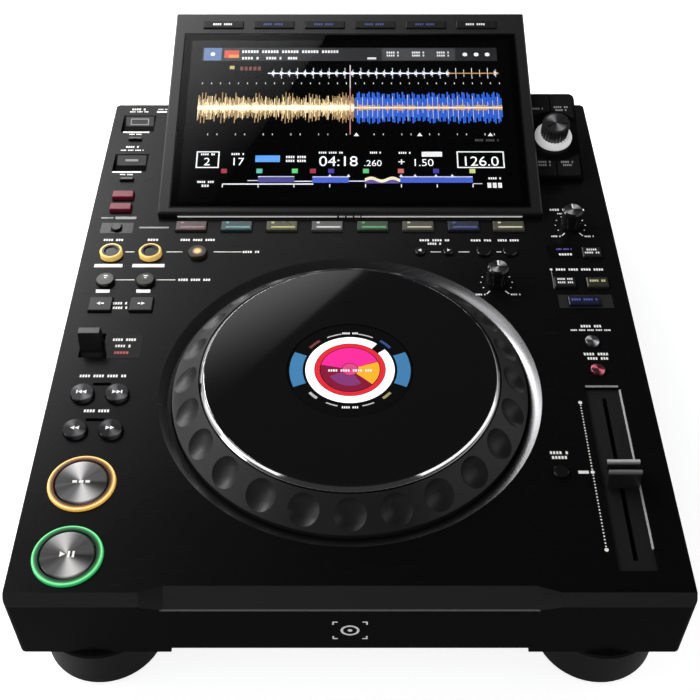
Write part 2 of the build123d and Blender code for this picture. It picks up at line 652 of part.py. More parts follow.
def selector_plinth():
    """Hollow wedge with a shallow dish for the knob, four key holes and ledges for its board."""
    wedge = side_profile(plinth_outline(0), plinth_x)
    corner = wedge.edges().filter_by(Axis.Z).sort_by(Axis.Y)[-2:].sort_by(Axis.X)[-1]
    wedge = fillet(corner, PLINTH_CORNER)
    wedge -= side_profile(plinth_outline(PLINTH_WALL), plinth_inner_x)
    knob_axis = Pos(selector_x, SELECTOR_S, 0)
    wedge -= PLINTH * knob_axis * Pos(0, 0, -DISH_DEPTH) * Cylinder(
        DISH_RADIUS, FAR, align=(Align.CENTER, Align.CENTER, Align.MIN)
    )
    wedge -= PLINTH * knob_axis * Cylinder(SELECTOR_SHAFT + SHAFT_GAP, 4 * PLINTH_WALL)
    for x in plinth_key_x:
        for s in (PLINTH_KEY_FRONT, PLINTH_KEY_REAR):
            hole = extrude(plinth_key(x, s, KEY_GAP), 4 * PLINTH_WALL)
            wedge -= PLINTH * Pos(0, 0, -2 * PLINTH_WALL) * hole
    ledge_s = (PLINTH_KEY_FRONT[1] + 3 * FLANGE_LIP, PLINTH_KEY_REAR[0] - 3 * FLANGE_LIP)
    for x in (plinth_inner_x[0], plinth_inner_x[1] - FLANGE_LIP):
        wedge += PLINTH * block((x, x + FLANGE_LIP), ledge_s, (-SELECTOR_BOARD_DROP, -PLINTH_WALL))
    return wedge


def selector_key(x, s):
    """One plinth key: cap through the plinth and a flange under its skin, inside the walls."""
    flange_top = -PLINTH_WALL - FLANGE_GAP
    cap = Pos(0, 0, flange_top) * extrude(plinth_key(x, s, 0), PLINTH_KEY_RISE - flange_top)
    own_x = (max(x[0], plinth_inner_x[0] + FLANGE_GAP), min(x[1], plinth_inner_x[1] - FLANGE_GAP))
    own_s = (PLINTH_WALL + FLANGE_GAP, PLINTH_LENGTH - PLINTH_WALL - FLANGE_LIP - FLANGE_GAP)
    middle = ((own_x[0] + own_x[1]) / 2, (own_s[0] + own_s[1]) / 2)
    own = Pos(*middle) * Rectangle(own_x[1] - own_x[0], own_s[1] - own_s[0])
    flange = extrude(plinth_key(x, s, FLANGE_LIP) & own, FLANGE_THICKNESS)
    return PLINTH * (cap + Pos(0, 0, flange_top - FLANGE_THICKNESS) * flange)


save("selector_plinth", selector_plinth())
front_keys = [selector_key(x, PLINTH_KEY_FRONT) for x in plinth_key_x]
rear_keys = [selector_key(x, PLINTH_KEY_REAR) for x in plinth_key_x]
save("selector_keys", *front_keys, *rear_keys)

# The shaft slides in the plinth when the knob is pushed; the knob turns on it.
selector_axis = PLINTH * Pos(selector_x, SELECTOR_S, 0)
collar_top = -PLINTH_WALL - FLANGE_GAP
collar_low = collar_top - SELECTOR_COLLAR_LENGTH
shaft = turned(
    (0, collar_low),
    (SELECTOR_SHAFT + SELECTOR_COLLAR, collar_low),
    (SELECTOR_SHAFT + SELECTOR_COLLAR, collar_top),
    (SELECTOR_SHAFT, collar_top),
    (SELECTOR_SHAFT, SELECTOR_HEIGHT - SELECTOR_TOP),
    (0, SELECTOR_HEIGHT - SELECTOR_TOP),
)
save("selector_shaft", selector_axis * shaft)


def selector_knob():
    """Knob with a bevelled bright skirt, a knurled barrel and a blind bore for the shaft."""
    base = SELECTOR_PUSH + AXIAL_GAP - DISH_DEPTH
    skirt = turned(
        (0, base),
        (SELECTOR_RADIUS, base),
        (SELECTOR_RADIUS, base + SELECTOR_SKIRT_EDGE),
        (SELECTOR_RADIUS - SELECTOR_SKIRT_BEVEL, SELECTOR_SKIRT),
        (0, SELECTOR_SKIRT),
    )
    ridge = []
    for step in range(2 * SELECTOR_TEETH):
        angle = math.pi * step / SELECTOR_TEETH
        radius = SELECTOR_BARREL - (step % 2) * SELECTOR_TOOTH
        ridge.append((radius * math.cos(angle), radius * math.sin(angle)))
    barrel = extrude(make_face(Polyline(*ridge, close=True)), SELECTOR_HEIGHT)
    bore_top = SELECTOR_HEIGHT - SELECTOR_TOP + AXIAL_GAP
    bore = Pos(0, 0, bore_top) * Cylinder(
        SELECTOR_SHAFT + SELECTOR_FIT, 2 * SELECTOR_HEIGHT, align=(Align.CENTER, Align.CENTER, Align.MAX)
    )
    return skirt + barrel - bore - block((-FAR, FAR), (-FAR, FAR), (-FAR, base))


save("selector_knob", selector_axis * selector_knob())


# --------------------------------------------------------------------------------------- jog dial
def jog_dial():
    """Dial ring: a cone of finger dimples, a web and a hub that turns on the base's column."""
    bore = COLUMN_RADIUS + COLUMN_FIT
    fall = DIAL_TOP_Z - DIAL_EDGE_Z
    slant = math.hypot(DIAL_CONE, fall)
    inner_x = DIAL_RADIUS - DIAL_RIM
    under_edge = DIAL_EDGE_Z - (DIAL_SHELL * slant - DIAL_RIM * fall) / DIAL_CONE
    web_run = (WEB_Z - under_edge) * DIAL_CONE / fall
    dial = turned(
        (bore, HUB_LOW_Z),
        (bore + HUB_WALL, HUB_LOW_Z),
        (bore + HUB_WALL, WEB_Z),
        (inner_x - web_run, WEB_Z),
        (inner_x, under_edge),
        (inner_x, DIAL_EDGE_Z - DIAL_SKIRT),
        (DIAL_RADIUS, DIAL_EDGE_Z - DIAL_SKIRT),
        (DIAL_RADIUS, DIAL_EDGE_Z),
        (DIAL_TOP_RADIUS, DIAL_TOP_Z),
        (DIAL_TOP_RADIUS, WEB_Z + WEB_THICKNESS),
        (bore + HUB_WALL, WEB_Z + WEB_THICKNESS),
        (bore + HUB_WALL, HUB_TOP_Z),
        (bore, HUB_TOP_Z),
    )
    ball = (DIMPLE_DIAMETER**2 / 4 + DIMPLE_DEPTH**2) / (2 * DIMPLE_DEPTH)
    stand_off = ball - DIMPLE_DEPTH
    ball_r = (DIAL_RADIUS + DIAL_TOP_RADIUS) / 2 + stand_off * fall / slant
    ball_z = (DIAL_EDGE_Z + DIAL_TOP_Z) / 2 + stand_off * DIAL_CONE / slant
    facing = Rot(0, math.degrees(math.atan2(fall, DIAL_CONE)) + 90, 0)
    for place in PolarLocations(ball_r, DIMPLE_COUNT):
        dial -= Pos(0, 0, ball_z) * place * facing * Sphere(ball)
    return Pos(0, JOG_Y, 0) * dial


def jog_top_plate():
    """Touch plate inside the dial ring: flat disc with a polished bevel and a rib over the web."""
    hole = DISPLAY_RADIUS + DISPLAY_GAP
    low = PLATE_TOP_Z - PLATE_THICKNESS
    foot = WEB_Z + WEB_THICKNESS + PLATE_PRESS + PLUNGER_GAP
    plate = turned(
        (hole, low),
        (PLATE_RADIUS - 2 * PLATE_RIB, low),
        (PLATE_RADIUS - 2 * PLATE_RIB, foot),
        (PLATE_RADIUS - PLATE_RIB, foot),
        (PLATE_RADIUS - PLATE_RIB, low),
        (PLATE_RADIUS, low),
        (PLATE_RADIUS, PLATE_TOP_Z - PLATE_BEVEL),
        (PLATE_RADIUS - PLATE_BEVEL, PLATE_TOP_Z),
        (hole, PLATE_TOP_Z),
    )
    return Pos(0, JOG_Y, 0) * plate


def jog_base():
    """Base plate screwed under the well, with the hollow column that the dial turns on."""
    top = PLATE_TOP_Z - DISPLAY_THICKNESS - DISPLAY_GAP
    plate_z = -WELL_DEPTH - WELL_WALL
    inner = COLUMN_RADIUS - COLUMN_WALL
    outer = WELL_FLOOR_RADIUS + BASE_OVERLAP
    base = turned(
        (inner, plate_z - BASE_THICKNESS),
        (outer, plate_z - BASE_THICKNESS),
        (outer, plate_z),
        (COLUMN_RADIUS + HUB_WALL, plate_z),
        (COLUMN_RADIUS + HUB_WALL, HUB_LOW_Z - AXIAL_GAP),
        (COLUMN_RADIUS, HUB_LOW_Z - AXIAL_GAP),
        (COLUMN_RADIUS, top),
        (inner, top),
    )
    return Pos(0, JOG_Y, 0) * base


save("jog_dial", jog_dial())
save("jog_top_plate", jog_top_plate())
save("jog_base", jog_base())
display_z = PLATE_TOP_Z - DISPLAY_GAP - DISPLAY_THICKNESS / 2
save("jog_display", Pos(0, JOG_Y, display_z) * Cylinder(DISPLAY_RADIUS, DISPLAY_THICKNESS))


# ---------------------------------------------------------------------------------------- screen
window_x = around(0, GLASS_WIDTH - 2 * GLASS_LEDGE)
window_s = (BEZEL_BOTTOM + GLASS_LEDGE, BEZEL_BOTTOM + GLASS_LENGTH - GLASS_LEDGE)
above_deck = block((-FAR, FAR), (0, 2 * FAR), (0, FAR))
skin = GLASS_THICKNESS + LEDGE_THICKNESS  # front skin: rebate for the glass and ledge behind it
inner_width = HOUSING_WIDTH - 2 * HOUSING_WALL
inner_s = (HOUSING_WALL, HOUSING_LENGTH - HOUSING_WALL)
key_s = HOUSING_LENGTH - SCREEN_KEY_SETBACK
screen_key_reach = HOUSING_WIDTH - 2 * SCREEN_KEY_MARGIN - SCREEN_KEY_WIDTH
screen_key_x = row(SCREEN_KEY_COUNT, screen_key_reach / (SCREEN_KEY_COUNT - 1))
pedestal_y = (HOUSING_FRONT + PEDESTAL_SETBACK, BODY_DEPTH - PEDESTAL_REAR_GAP)


def screen_housing():
    """Front frame of the screen, open at the back, cut off level where it stands on the deck."""
    frame = block(around(0, HOUSING_WIDTH), (0, HOUSING_LENGTH), (-HOUSING_THICKNESS, 0))
    frame = chamfer(frame.edges().group_by(Axis.Z)[-1], HOUSING_CHAMFER)
    frame -= block(around(0, inner_width), inner_s, (-2 * HOUSING_THICKNESS, -skin))
    rebate_s = (BEZEL_BOTTOM - GLASS_GAP, BEZEL_BOTTOM + GLASS_LENGTH + GLASS_GAP)
    frame -= block(around(0, GLASS_WIDTH + 2 * GLASS_GAP), rebate_s, (-GLASS_THICKNESS, 1))
    frame -= block(window_x, window_s, (-HOUSING_THICKNESS, 1))
    hole_s = around(key_s, SCREEN_KEY_LENGTH + 2 * KEY_GAP)
    for x in screen_key_x:
        frame -= block(around(x, SCREEN_KEY_WIDTH + 2 * KEY_GAP), hole_s, (-HOUSING_THICKNESS, 1))
    return SCREEN * frame & above_deck


def screen_back_cover():
    """Rear shell: a lid let into the frame, on a hollow pedestal that stands on the deck."""
    lid_t = (-HOUSING_THICKNESS, SHEET + GLASS_GAP - HOUSING_THICKNESS)
    lid_s = (inner_s[0] + GLASS_GAP, inner_s[1] - GLASS_GAP)
    lid = SCREEN * block(around(0, inner_width - 2 * GLASS_GAP), lid_s, lid_t)
    under = SCREEN * block((-FAR, FAR), (-FAR, FAR), (-FAR, -HOUSING_THICKNESS))
    width = HOUSING_WIDTH - 2 * PEDESTAL_INSET
    pedestal = block(around(0, width), pedestal_y, (0, FAR / 10))
    hollow_y = (pedestal_y[0] + HOUSING_WALL, pedestal_y[1] - HOUSING_WALL)
    pedestal -= block(around(0, width - 2 * HOUSING_WALL), hollow_y, (-1, FAR / 10))
    return (lid & above_deck) + (pedestal & under)


def tilted(width, s, t):
    """Flat piece of the screen, centred across it."""
    return SCREEN * block(around(0, width), s, t)


def screen_key(x):
    """One key above the glass: a low cap and the flange behind the frame's skin."""
    flange_top = -skin - FLANGE_GAP
    cap = block(around(x, SCREEN_KEY_WIDTH), around(key_s, SCREEN_KEY_LENGTH), (flange_top, SCREEN_KEY_RISE))
    cap = chamfer(cap.edges().group_by(Axis.Z)[-1], KEY_EDGE / 2)
    lip_x = around(x, SCREEN_KEY_WIDTH + 2 * FLANGE_LIP)
    lip_s = around(key_s, SCREEN_KEY_LENGTH + 2 * FLANGE_LIP)
    return SCREEN * (cap + block(lip_x, lip_s, (flange_top - FLANGE_THICKNESS, flange_top)))


save("screen_housing", screen_housing())
save("screen_back_cover", screen_back_cover())
glass_s = (BEZEL_BOTTOM, BEZEL_BOTTOM + GLASS_LENGTH)
save("screen_glass", tilted(GLASS_WIDTH, glass_s, (-GLASS_THICKNESS, 0)))
lcd_s = (window_s[0] - LCD_MARGIN, window_s[1] + LCD_MARGIN)
lcd_width = window_x[1] - window_x[0] + 2 * LCD_MARGIN
save("lcd_panel", tilted(lcd_width, lcd_s, (-skin - LCD_THICKNESS, -skin)))
save("screen_keys", *[screen_key(x) for x in screen_key_x])

# The panel's lower edge dips into the deck, and its cables pass through behind it.
lcd_dip = (skin + LCD_THICKNESS) / math.sin(TILT)
lcd_opening_y = (HOUSING_FRONT + HOUSING_WALL + BOARD_GAP, HOUSING_FRONT + lcd_dip - HOUSING_LIFT)
deck_holes.append(block(around(0, lcd_width + 2 * BOARD_GAP), lcd_opening_y, (-2 * WALL, WALL)))
cable_y = around((pedestal_y[0] + pedestal_y[1]) / 2, CABLE_SLOT[1])
deck_holes.append(block(around(0, CABLE_SLOT[0]), cable_y, (-2 * WALL, WALL)))


# ------------------------------------------------------------------------------------ key boards
def key_board(x, y, *cuts):
    """Circuit board at the level of the key switches, with the switches that stand on it."""
    board = block(x, y, (-BOARD_DROP - BOARD_THICKNESS, -BOARD_DROP))
    for cut in cuts:
        board -= cut
    half = SWITCH_SIDE / 2
    switch_z = (-BOARD_DROP, SWITCH_HEIGHT - BOARD_DROP)
    for sx, sy in switches:
        if x[0] + half <= sx <= x[1] - half and y[0] + half <= sy <= y[1] - half:
            board += block(around(sx, SWITCH_SIDE), around(sy, SWITCH_SIDE), switch_z)
    return board


left_board_x = (LEFT + WALL + BOARD_GAP, SECOND_X + SWITCH_SIDE)
right_board_x = (RIGHT_X - SYNC_PITCH, RIGHT - WALL - BOARD_GAP)
lever_cut_x = around(LEFT_X, 2 * (ear_gap + TRUNNION_LENGTH + BOARD_GAP))
lever_cut_y = around(LEVER_Y, 2 * (DRUM_RADIUS + POCKET_WALL))
lever_cut = block(lever_cut_x, lever_cut_y, (-FAR, 0))
pocket_front = STICK_Y - POCKET_WALL - BOARD_GAP
fader_end = FADER_Y + FADER_PLATE[1] / 2 + FADER_FLANGE_LIP + BOARD_GAP
left_board = key_board(left_board_x, (WALL + LIP_DECK_CUT, pocket_front), lever_cut)
right_board = key_board(right_board_x, (fader_end, PLINTH_FRONT - BOARD_LEDGE))

band_board_x = (left_board_x[1] + BOARD_GAP, right_board_x[0] - BOARD_GAP)
band_board_y = (BAND_Y + BOARD_GAP, HOUSING_FRONT - BOARD_GAP)
knob_board_y = (adjust_spot[1] - KNOB_RADIUS, HOUSING_FRONT - BOARD_GAP)
band_board = key_board(band_board_x, band_board_y)
band_board += key_board(around(adjust_spot[0], 2 * KNOB_RADIUS), knob_board_y)
posts += [(x, MEMORY_Y + BOARD_LEDGE) for x in POST_X]

post_offset = (SMALL_BOARD - POST_SIDE) / 2
reset_board = key_board(around(reset_spot[0], SMALL_BOARD), around(reset_spot[1], SMALL_BOARD))
posts += [(x, reset_spot[1]) for x in around(reset_spot[0], 2 * post_offset)]

stop_board_y = (STICK_Y + SCOOP_LENGTH + POCKET_WALL + BOARD_GAP, pocket_front + STICK_PITCH)
stop_board = key_board(around(LEFT_X, SMALL_BOARD), stop_board_y)
posts += [(x, stop_spots[1][1]) for x in around(LEFT_X, 2 * post_offset)]

selector_board_x = (plinth_inner_x[0] + SHEET_GAP, plinth_inner_x[1] - SHEET_GAP)
selector_board_s = (PLINTH_WALL + BOARD_GAP, PLINTH_LENGTH - SELECTOR_BOARD_END)
selector_board_t = (-SELECTOR_BOARD_DROP - BOARD_THICKNESS, -SELECTOR_BOARD_DROP)
encoder_t = (-SELECTOR_BOARD_DROP, collar_low - SELECTOR_PUSH - PLUNGER_GAP)
selector_board = block(selector_board_x, selector_board_s, selector_board_t)
selector_board += block(around(selector_x, ENCODER_SIDE), around(SELECTOR_S, ENCODER_SIDE), encoder_t)


# ------------------------------------------------------------------- main board and power supply
floor_z = CHASSIS_Z + SHEET
flange_x = INNER_X - SHEET_GAP - SHEET
supply_x = (flange_x - SUPPLY_GAP[0] - SUPPLY_SIZE[0], flange_x - SUPPLY_GAP[0])
supply_y = (PANEL_Y - SUPPLY_GAP[1] - SUPPLY_SIZE[1], PANEL_Y - SUPPLY_GAP[1])
save("power_supply", block(supply_x, supply_y, (floor_z, floor_z + SUPPLY_SIZE[2])))


def main_board():
    """Board on four stand-offs, with a heat sink over its processor."""
    right = supply_x[0] - MAIN_BOARD_GAP[0]
    rear = PANEL_Y - MAIN_BOARD_GAP[1]
    x = (right - MAIN_BOARD_SIZE[0], right)
    y = (rear - MAIN_BOARD_SIZE[1], rear)
    low = floor_z + MAIN_BOARD_LIFT
    board = block(x, y, (low, low + BOARD_THICKNESS))
    for post_x in (x[0] + STANDOFF_INSET, x[1] - STANDOFF_INSET):
        for post_y in (y[0] + STANDOFF_INSET, y[1] - STANDOFF_INSET):
            board += block(around(post_x, STANDOFF_SIDE), around(post_y, STANDOFF_SIDE), (floor_z, low))
    middle = Pos((x[0] + x[1]) / 2, (y[0] + y[1]) / 2, low)
    return board + middle * Box(*HEAT_SINK, align=(Align.CENTER, Align.CENTER, Align.MIN))


key_boards = [left_board, right_board, band_board, reset_board, stop_board]
save("circuit_boards", *key_boards, PLINTH * selector_board, main_board())


# ------------------------------------------------------------------------------------- top cover
foot_x = RIGHT - FOOT_INSET
arch_half_width = foot_x - FOOT_RADIUS - ARCH_RUNOUT


def bevel_cutter(deck_cut, face_cut):
    """Triangle at x = 0 that takes off the edge between the deck and the front face."""
    edge = Polyline((-1, 1), (deck_cut, 1), (deck_cut, 0), (0, -face_cut), (-1, -face_cut), close=True)
    return Plane.YZ * make_face(edge)


def front_bevel():
    """Bevel along the front, with a longer cut in the middle that runs out to both sides."""
    plain = bevel_cutter(EDGE_BEVEL, EDGE_BEVEL)
    long_cut = bevel_cutter(LIP_DECK_CUT, LIP_FACE_CUT)
    cut = extrude(plain, BODY_WIDTH, both=True)
    cut += extrude(long_cut, arch_half_width, both=True)
    for side in (-1, 1):
        near = Pos(side * arch_half_width, 0, 0) * long_cut
        far = Pos(side * (arch_half_width + LIP_RUNOUT), 0, 0) * plain
        cut += loft([near, far])
    return cut


def stick_pocket(y):
    """Block under the deck and the scoop with its slot, cut for one memory stick socket."""
    x = around(LEFT_X, SCOOP_WIDTH)
    back = y + SCOOP_LENGTH
    outer_x = around(LEFT_X, SCOOP_WIDTH + 2 * POCKET_WALL)
    body = block(outer_x, (y - POCKET_WALL, back + POCKET_WALL), (-POCKET_DEPTH, -WALL))
    slot = block(x, (y, y + STICK_SLOT), (-2 * POCKET_DEPTH, WALL))
    ramp_front = y + STICK_SLOT - SHEET_GAP
    ramp = [(ramp_front, WALL), (ramp_front, -SCOOP_DEPTH), (back, 0), (back, WALL)]
    return body, slot + side_profile(ramp, x)


def stick_socket(y):
    """Metal socket shell with its contact tongue, under the slot."""
    middle = y + STICK_SLOT / 2
    low = -POCKET_DEPTH - SOCKET_DEPTH
    floor = low + SHEET
    outer_x = around(LEFT_X, SOCKET_INNER[0] + 2 * SOCKET_WALL)
    outer_y = around(middle, SOCKET_INNER[1] + 2 * SOCKET_WALL)
    shell = block(outer_x, outer_y, (low, -POCKET_DEPTH))
    shell -= block(around(LEFT_X, SOCKET_INNER[0]), around(middle, SOCKET_INNER[1]), (floor, 0))
    tongue_x = around(LEFT_X, SOCKET_TONGUE[0])
    tongue_y = around(middle + TONGUE_OFFSET, SOCKET_TONGUE[1])
    return shell + block(tongue_x, tongue_y, (floor, -POCKET_DEPTH - SHEET))


def well_wall():
    """Conical wall and ring floor of the dial's well, under the deck."""
    low = -WELL_DEPTH - WELL_WALL
    low_radius = WELL_RADIUS - WELL_TAPER
    wall = turned(
        (WELL_FLOOR_RADIUS, low),
        (low_radius + WELL_WALL, low),
        (WELL_RADIUS + WELL_WALL, -WALL / 2),
        (WELL_FLOOR_RADIUS, -WALL / 2),
    )
    cut = turned((0, -WELL_DEPTH), (low_radius, -WELL_DEPTH), (WELL_RADIUS, 0), (WELL_RADIUS, 1), (0, 1))
    return Pos(0, JOG_Y, 0) * wall, Pos(0, JOG_Y, 0) * cut


def top_cover():
    """Moulded cover: deck, skirt, bevelled front edge, well for the dial and everything set in it."""
    plan = Pos(0, BODY_DEPTH / 2) * RectangleRounded(BODY_WIDTH, BODY_DEPTH, CORNER_RADIUS)
    cover = Pos(0, 0, -SKIRT_HEIGHT) * extrude(plan, SKIRT_HEIGHT)
    hollow = [
        (WALL, -FAR),
        (WALL, -LIP_FACE_CUT - WALL),
        (LIP_DECK_CUT + WALL, -WALL),
        (FAR, -WALL),
        (FAR, -FAR),
    ]
    cover -= side_profile(hollow, (-INNER_X, INNER_X))
    cover -= front_bevel()
    cover -= block(around(0, 2 * arch_half_width), (-1, WALL + 1), (-FAR, CHASSIS_Z))
    relief_x = around(TRANSPORT_X, 2 * (RING_OUTER + RING_LIP + FLANGE_LIP))
    cover -= block(relief_x, (EDGE_BEVEL + 1.0, LIP_DECK_CUT + WALL), (-2 * WALL, -WALL))
    well, well_cut = well_wall()
    cover = cover + well - well_cut + lever_ears()
    for y in stick_rows:
        pocket, opening = stick_pocket(y)
        cover += pocket
        deck_holes.append(opening)
    for x, y in posts:
        cover += block(around(x, POST_SIDE), around(y, POST_SIDE), (-BOARD_DROP, -WALL))
    shelf_z = (-BOARD_DROP - BOARD_THICKNESS - WALL, -BOARD_DROP - BOARD_THICKNESS)
    right_ledges = (JOG_Y + 2 * WALL, BAND_Y, PLINTH_FRONT - 2 * BOARD_LEDGE)
    for y in (PLAY_Y, *right_ledges):
        cover += block((-INNER_X, BOARD_LEDGE - INNER_X), around(y, 2 * BOARD_LEDGE), shelf_z)
    for y in right_ledges:
        cover += block((INNER_X - BOARD_LEDGE, INNER_X), around(y, 2 * BOARD_LEDGE), shelf_z)
    return cover - deck_holes


save("top_cover", top_cover())


# --------------------------------------------------------------------- chassis, feet, rear panel
def chassis():
    """Folded tray that closes the cabinet below and carries the feet."""
    x = (SHEET_GAP - INNER_X, INNER_X - SHEET_GAP)
    y = (WALL + SHEET_GAP, PANEL_Y)
    tray = block(x, y, (CHASSIS_Z, CHASSIS_Z + CHASSIS_FLANGE))
    return tray - block((x[0] + SHEET, x[1] - SHEET), (y[0] + SHEET, FAR), (floor_z, 0))


def foot(x, y):
    """Round moulded foot with a boss at the top and a chamfered tread."""
    height = DECK_HEIGHT + CHASSIS_Z
    shoulder = DECK_HEIGHT - SKIRT_HEIGHT - FOOT_GAP
    body = turned(
        (0, 0),
        (FOOT_RADIUS - FOOT_CHAMFER, 0),
        (FOOT_RADIUS, FOOT_CHAMFER),
        (FOOT_RADIUS, shoulder - FOOT_EDGE),
        (FOOT_RADIUS - FOOT_EDGE, shoulder),
        (FOOT_BOSS, shoulder),
        (FOOT_BOSS, height),
        (0, height),
    )
    return Pos(x, y, -DECK_HEIGHT) * body


save("bottom_chassis", chassis())
foot_rows = (FOOT_RADIUS - FOOT_OVERHANG, BODY_DEPTH - REAR_FOOT_INSET - FOOT_RADIUS)
save("feet", *[foot(x, y) for x in (-foot_x, foot_x) for y in foot_rows])


def through_panel(spot, size, outside, inside=CONNECTOR_BODY):
    """Connector block that passes through the rear panel; sizes are (across, up)."""
    y = (PANEL_Y - SHEET - inside, PANEL_Y + outside)
    return block(around(spot[0], size[0]), y, around(spot[1], size[1]))


def panel_socket(spot, size, opening, depth, outside=CONNECTOR_LIP):
    """Square connector with a blind opening towards the rear."""
    body = through_panel(spot, size, outside, max(CONNECTOR_BODY, depth))
    mouth_y = (PANEL_Y + outside - depth, FAR)
    return body - block(around(spot[0], opening[0]), mouth_y, around(spot[1], opening[1]))


def mains_inlet():
    """Three-pin inlet: a deep opening with its flat pins standing well inside the mouth."""
    inlet = panel_socket(INLET_SPOT, INLET_SIZE, INLET_OPENING, INLET_DEPTH, INLET_LIP)
    mouth_y = PANEL_Y + INLET_LIP
    pin_y = (mouth_y - INLET_DEPTH - 1, mouth_y - PIN_RECESS)
    across, up = INLET_PIN_PITCH
    for x, z in ((-across / 2, up / 2), (across / 2, up / 2), (0, -up / 2)):
        pin_x = around(INLET_SPOT[0] + x, INLET_PIN[0])
        inlet += block(pin_x, pin_y, around(INLET_SPOT[1] + z, INLET_PIN[1]))
    return inlet


def computer_socket():
    """Square data socket with the tongue that its plug goes round."""
    socket = panel_socket(COMPUTER_SPOT, COMPUTER_SIZE, COMPUTER_OPENING, COMPUTER_DEPTH)
    mouth_y = PANEL_Y + CONNECTOR_LIP
    tongue_y = (mouth_y - COMPUTER_DEPTH - 1, mouth_y - PIN_RECESS)
    tongue_x = around(COMPUTER_SPOT[0], COMPUTER_TONGUE[0])
    return socket + block(tongue_x, tongue_y, around(COMPUTER_SPOT[1], COMPUTER_TONGUE[1]))


def phono_jack(x):
    """Line jack: a square block behind the panel and a round barrel outside it."""
    block_y = (PANEL_Y - SHEET - CONNECTOR_BODY, PANEL_Y - SHEET)
    body = block(around(x, JACK_BLOCK), block_y, around(CONNECTOR_Z, JACK_BLOCK))
    collar = SHEET + CONNECTOR_LIP
    tip = collar + JACK_LENGTH
    barrel = turned(
        (JACK_HOLE, 0),
        (JACK_COLLAR, 0),
        (JACK_COLLAR, collar),
        (JACK_RADIUS, collar),
        (JACK_RADIUS, tip),
        (JACK_HOLE, tip),
    )
    return body + Pos(x, PANEL_Y - SHEET, CONNECTOR_Z) * Rot(-90, 0, 0) * barrel


network_socket = panel_socket(NETWORK_SPOT, NETWORK_SIZE, NETWORK_OPENING, NETWORK_DEPTH)
jacks = [phono_jack(x) for x in JACK_X]
stick_sockets = [stick_socket(y) for y in stick_rows]
save("connectors", mains_inlet(), computer_socket(), network_socket, *jacks, *stick_sockets)


def rear_panel():
    """Sheet panel let into the back of the cover, cut out for each connector."""
    x = (SHEET_GAP - INNER_X, INNER_X - SHEET_GAP)
    top = -WALL - SHEET_GAP
    flange_top = CHASSIS_Z + CHASSIS_FLANGE
    panel = block(x, (PANEL_Y - SHEET, PANEL_Y), (flange_top, top))
    inner = (x[0] + SHEET + SHEET_GAP, x[1] - SHEET - SHEET_GAP)
    panel += block(inner, (PANEL_Y - SHEET, PANEL_Y), (floor_z, flange_top))
    power_hole = POWER_SIZE + 2 * KEY_GAP
    cuts = [
        (INLET_SPOT, INLET_SIZE),
        (COMPUTER_SPOT, COMPUTER_SIZE),
        (NETWORK_SPOT, NETWORK_SIZE),
        (POWER_SPOT, (power_hole, power_hole)),
    ]
    for spot, size in cuts:
        cut_x = around(spot[0], size[0] + 2 * CONNECTOR_GAP)
        panel -= block(cut_x, (0, FAR), around(spot[1], size[1] + 2 * CONNECTOR_GAP))
    for jack_x in JACK_X:
        hole = Cylinder(JACK_COLLAR + CONNECTOR_GAP, 4 * SHEET)
        panel -= Pos(jack_x, PANEL_Y, CONNECTOR_Z) * Rot(90, 0, 0) * hole
    return panel


def power_button():
    """Square button through the rear panel, with its flange behind the sheet."""
    cap = through_panel(POWER_SPOT, (POWER_SIZE, POWER_SIZE), POWER_RISE, FLANGE_GAP)
    cap = chamfer(cap.edges().group_by(Axis.Y)[-1], KEY_EDGE)
    flange_rear = PANEL_Y - SHEET - FLANGE_GAP
    side = POWER_SIZE + 4 * FLANGE_LIP
    flange_y = (flange_rear - FLANGE_THICKNESS, flange_rear)
    return cap + block(around(POWER_SPOT[0], side), flange_y, around(POWER_SPOT[1], side))


save("rear_panel", rear_panel())
save("power_button", power_button())
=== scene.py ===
import math
import random

import bmesh
import bpy
from mathutils import Matrix, Vector


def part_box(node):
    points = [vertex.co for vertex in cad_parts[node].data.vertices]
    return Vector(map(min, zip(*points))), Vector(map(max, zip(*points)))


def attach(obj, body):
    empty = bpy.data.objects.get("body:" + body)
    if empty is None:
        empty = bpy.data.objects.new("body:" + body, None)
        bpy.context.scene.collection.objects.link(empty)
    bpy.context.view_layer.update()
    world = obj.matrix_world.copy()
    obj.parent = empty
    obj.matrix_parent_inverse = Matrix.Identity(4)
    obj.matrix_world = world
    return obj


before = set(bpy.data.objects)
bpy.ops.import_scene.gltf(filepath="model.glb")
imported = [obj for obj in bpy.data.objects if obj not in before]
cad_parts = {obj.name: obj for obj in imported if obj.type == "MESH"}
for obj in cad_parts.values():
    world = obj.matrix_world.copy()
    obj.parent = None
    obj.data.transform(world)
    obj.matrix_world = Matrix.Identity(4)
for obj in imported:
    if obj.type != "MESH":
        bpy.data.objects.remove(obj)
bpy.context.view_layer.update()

# Studio: a white paper floor and backdrop, and luminous sheets that the glossy faces mirror.
# The broad sheet stands behind and to the left of the player, and a strip hangs over either side.
WHITE = (1.0, 1.0, 1.0)
scene = bpy.context.scene
scene.view_settings.view_transform = "Standard"

camera = bpy.data.objects.new("camera", bpy.data.cameras.new("camera"))
scene.collection.objects.link(camera)
camera.location = (0.0, -0.51978, 0.55727)
camera.rotation_euler = (math.radians(43.67), 0.0, 0.0)
camera.data.lens = 60.457
camera.data.sensor_width = 36.0
scene.camera = camera


def node(tree, kind, **settings):
    """A shader node with its settings; its sockets are filled by feed()."""
    made = tree.nodes.new("ShaderNode" + kind)
    for name, value in settings.items():
        setattr(made, name, value)
    return made


def fill(tree, socket, value):
    """Link a socket to another, or give it a value; a triple is a whole colour."""
    if isinstance(value, bpy.types.NodeSocket):
        tree.links.new(value, socket)
    elif socket.type == "RGBA":
        socket.default_value = (*value, 1.0)
    else:
        socket.default_value = value


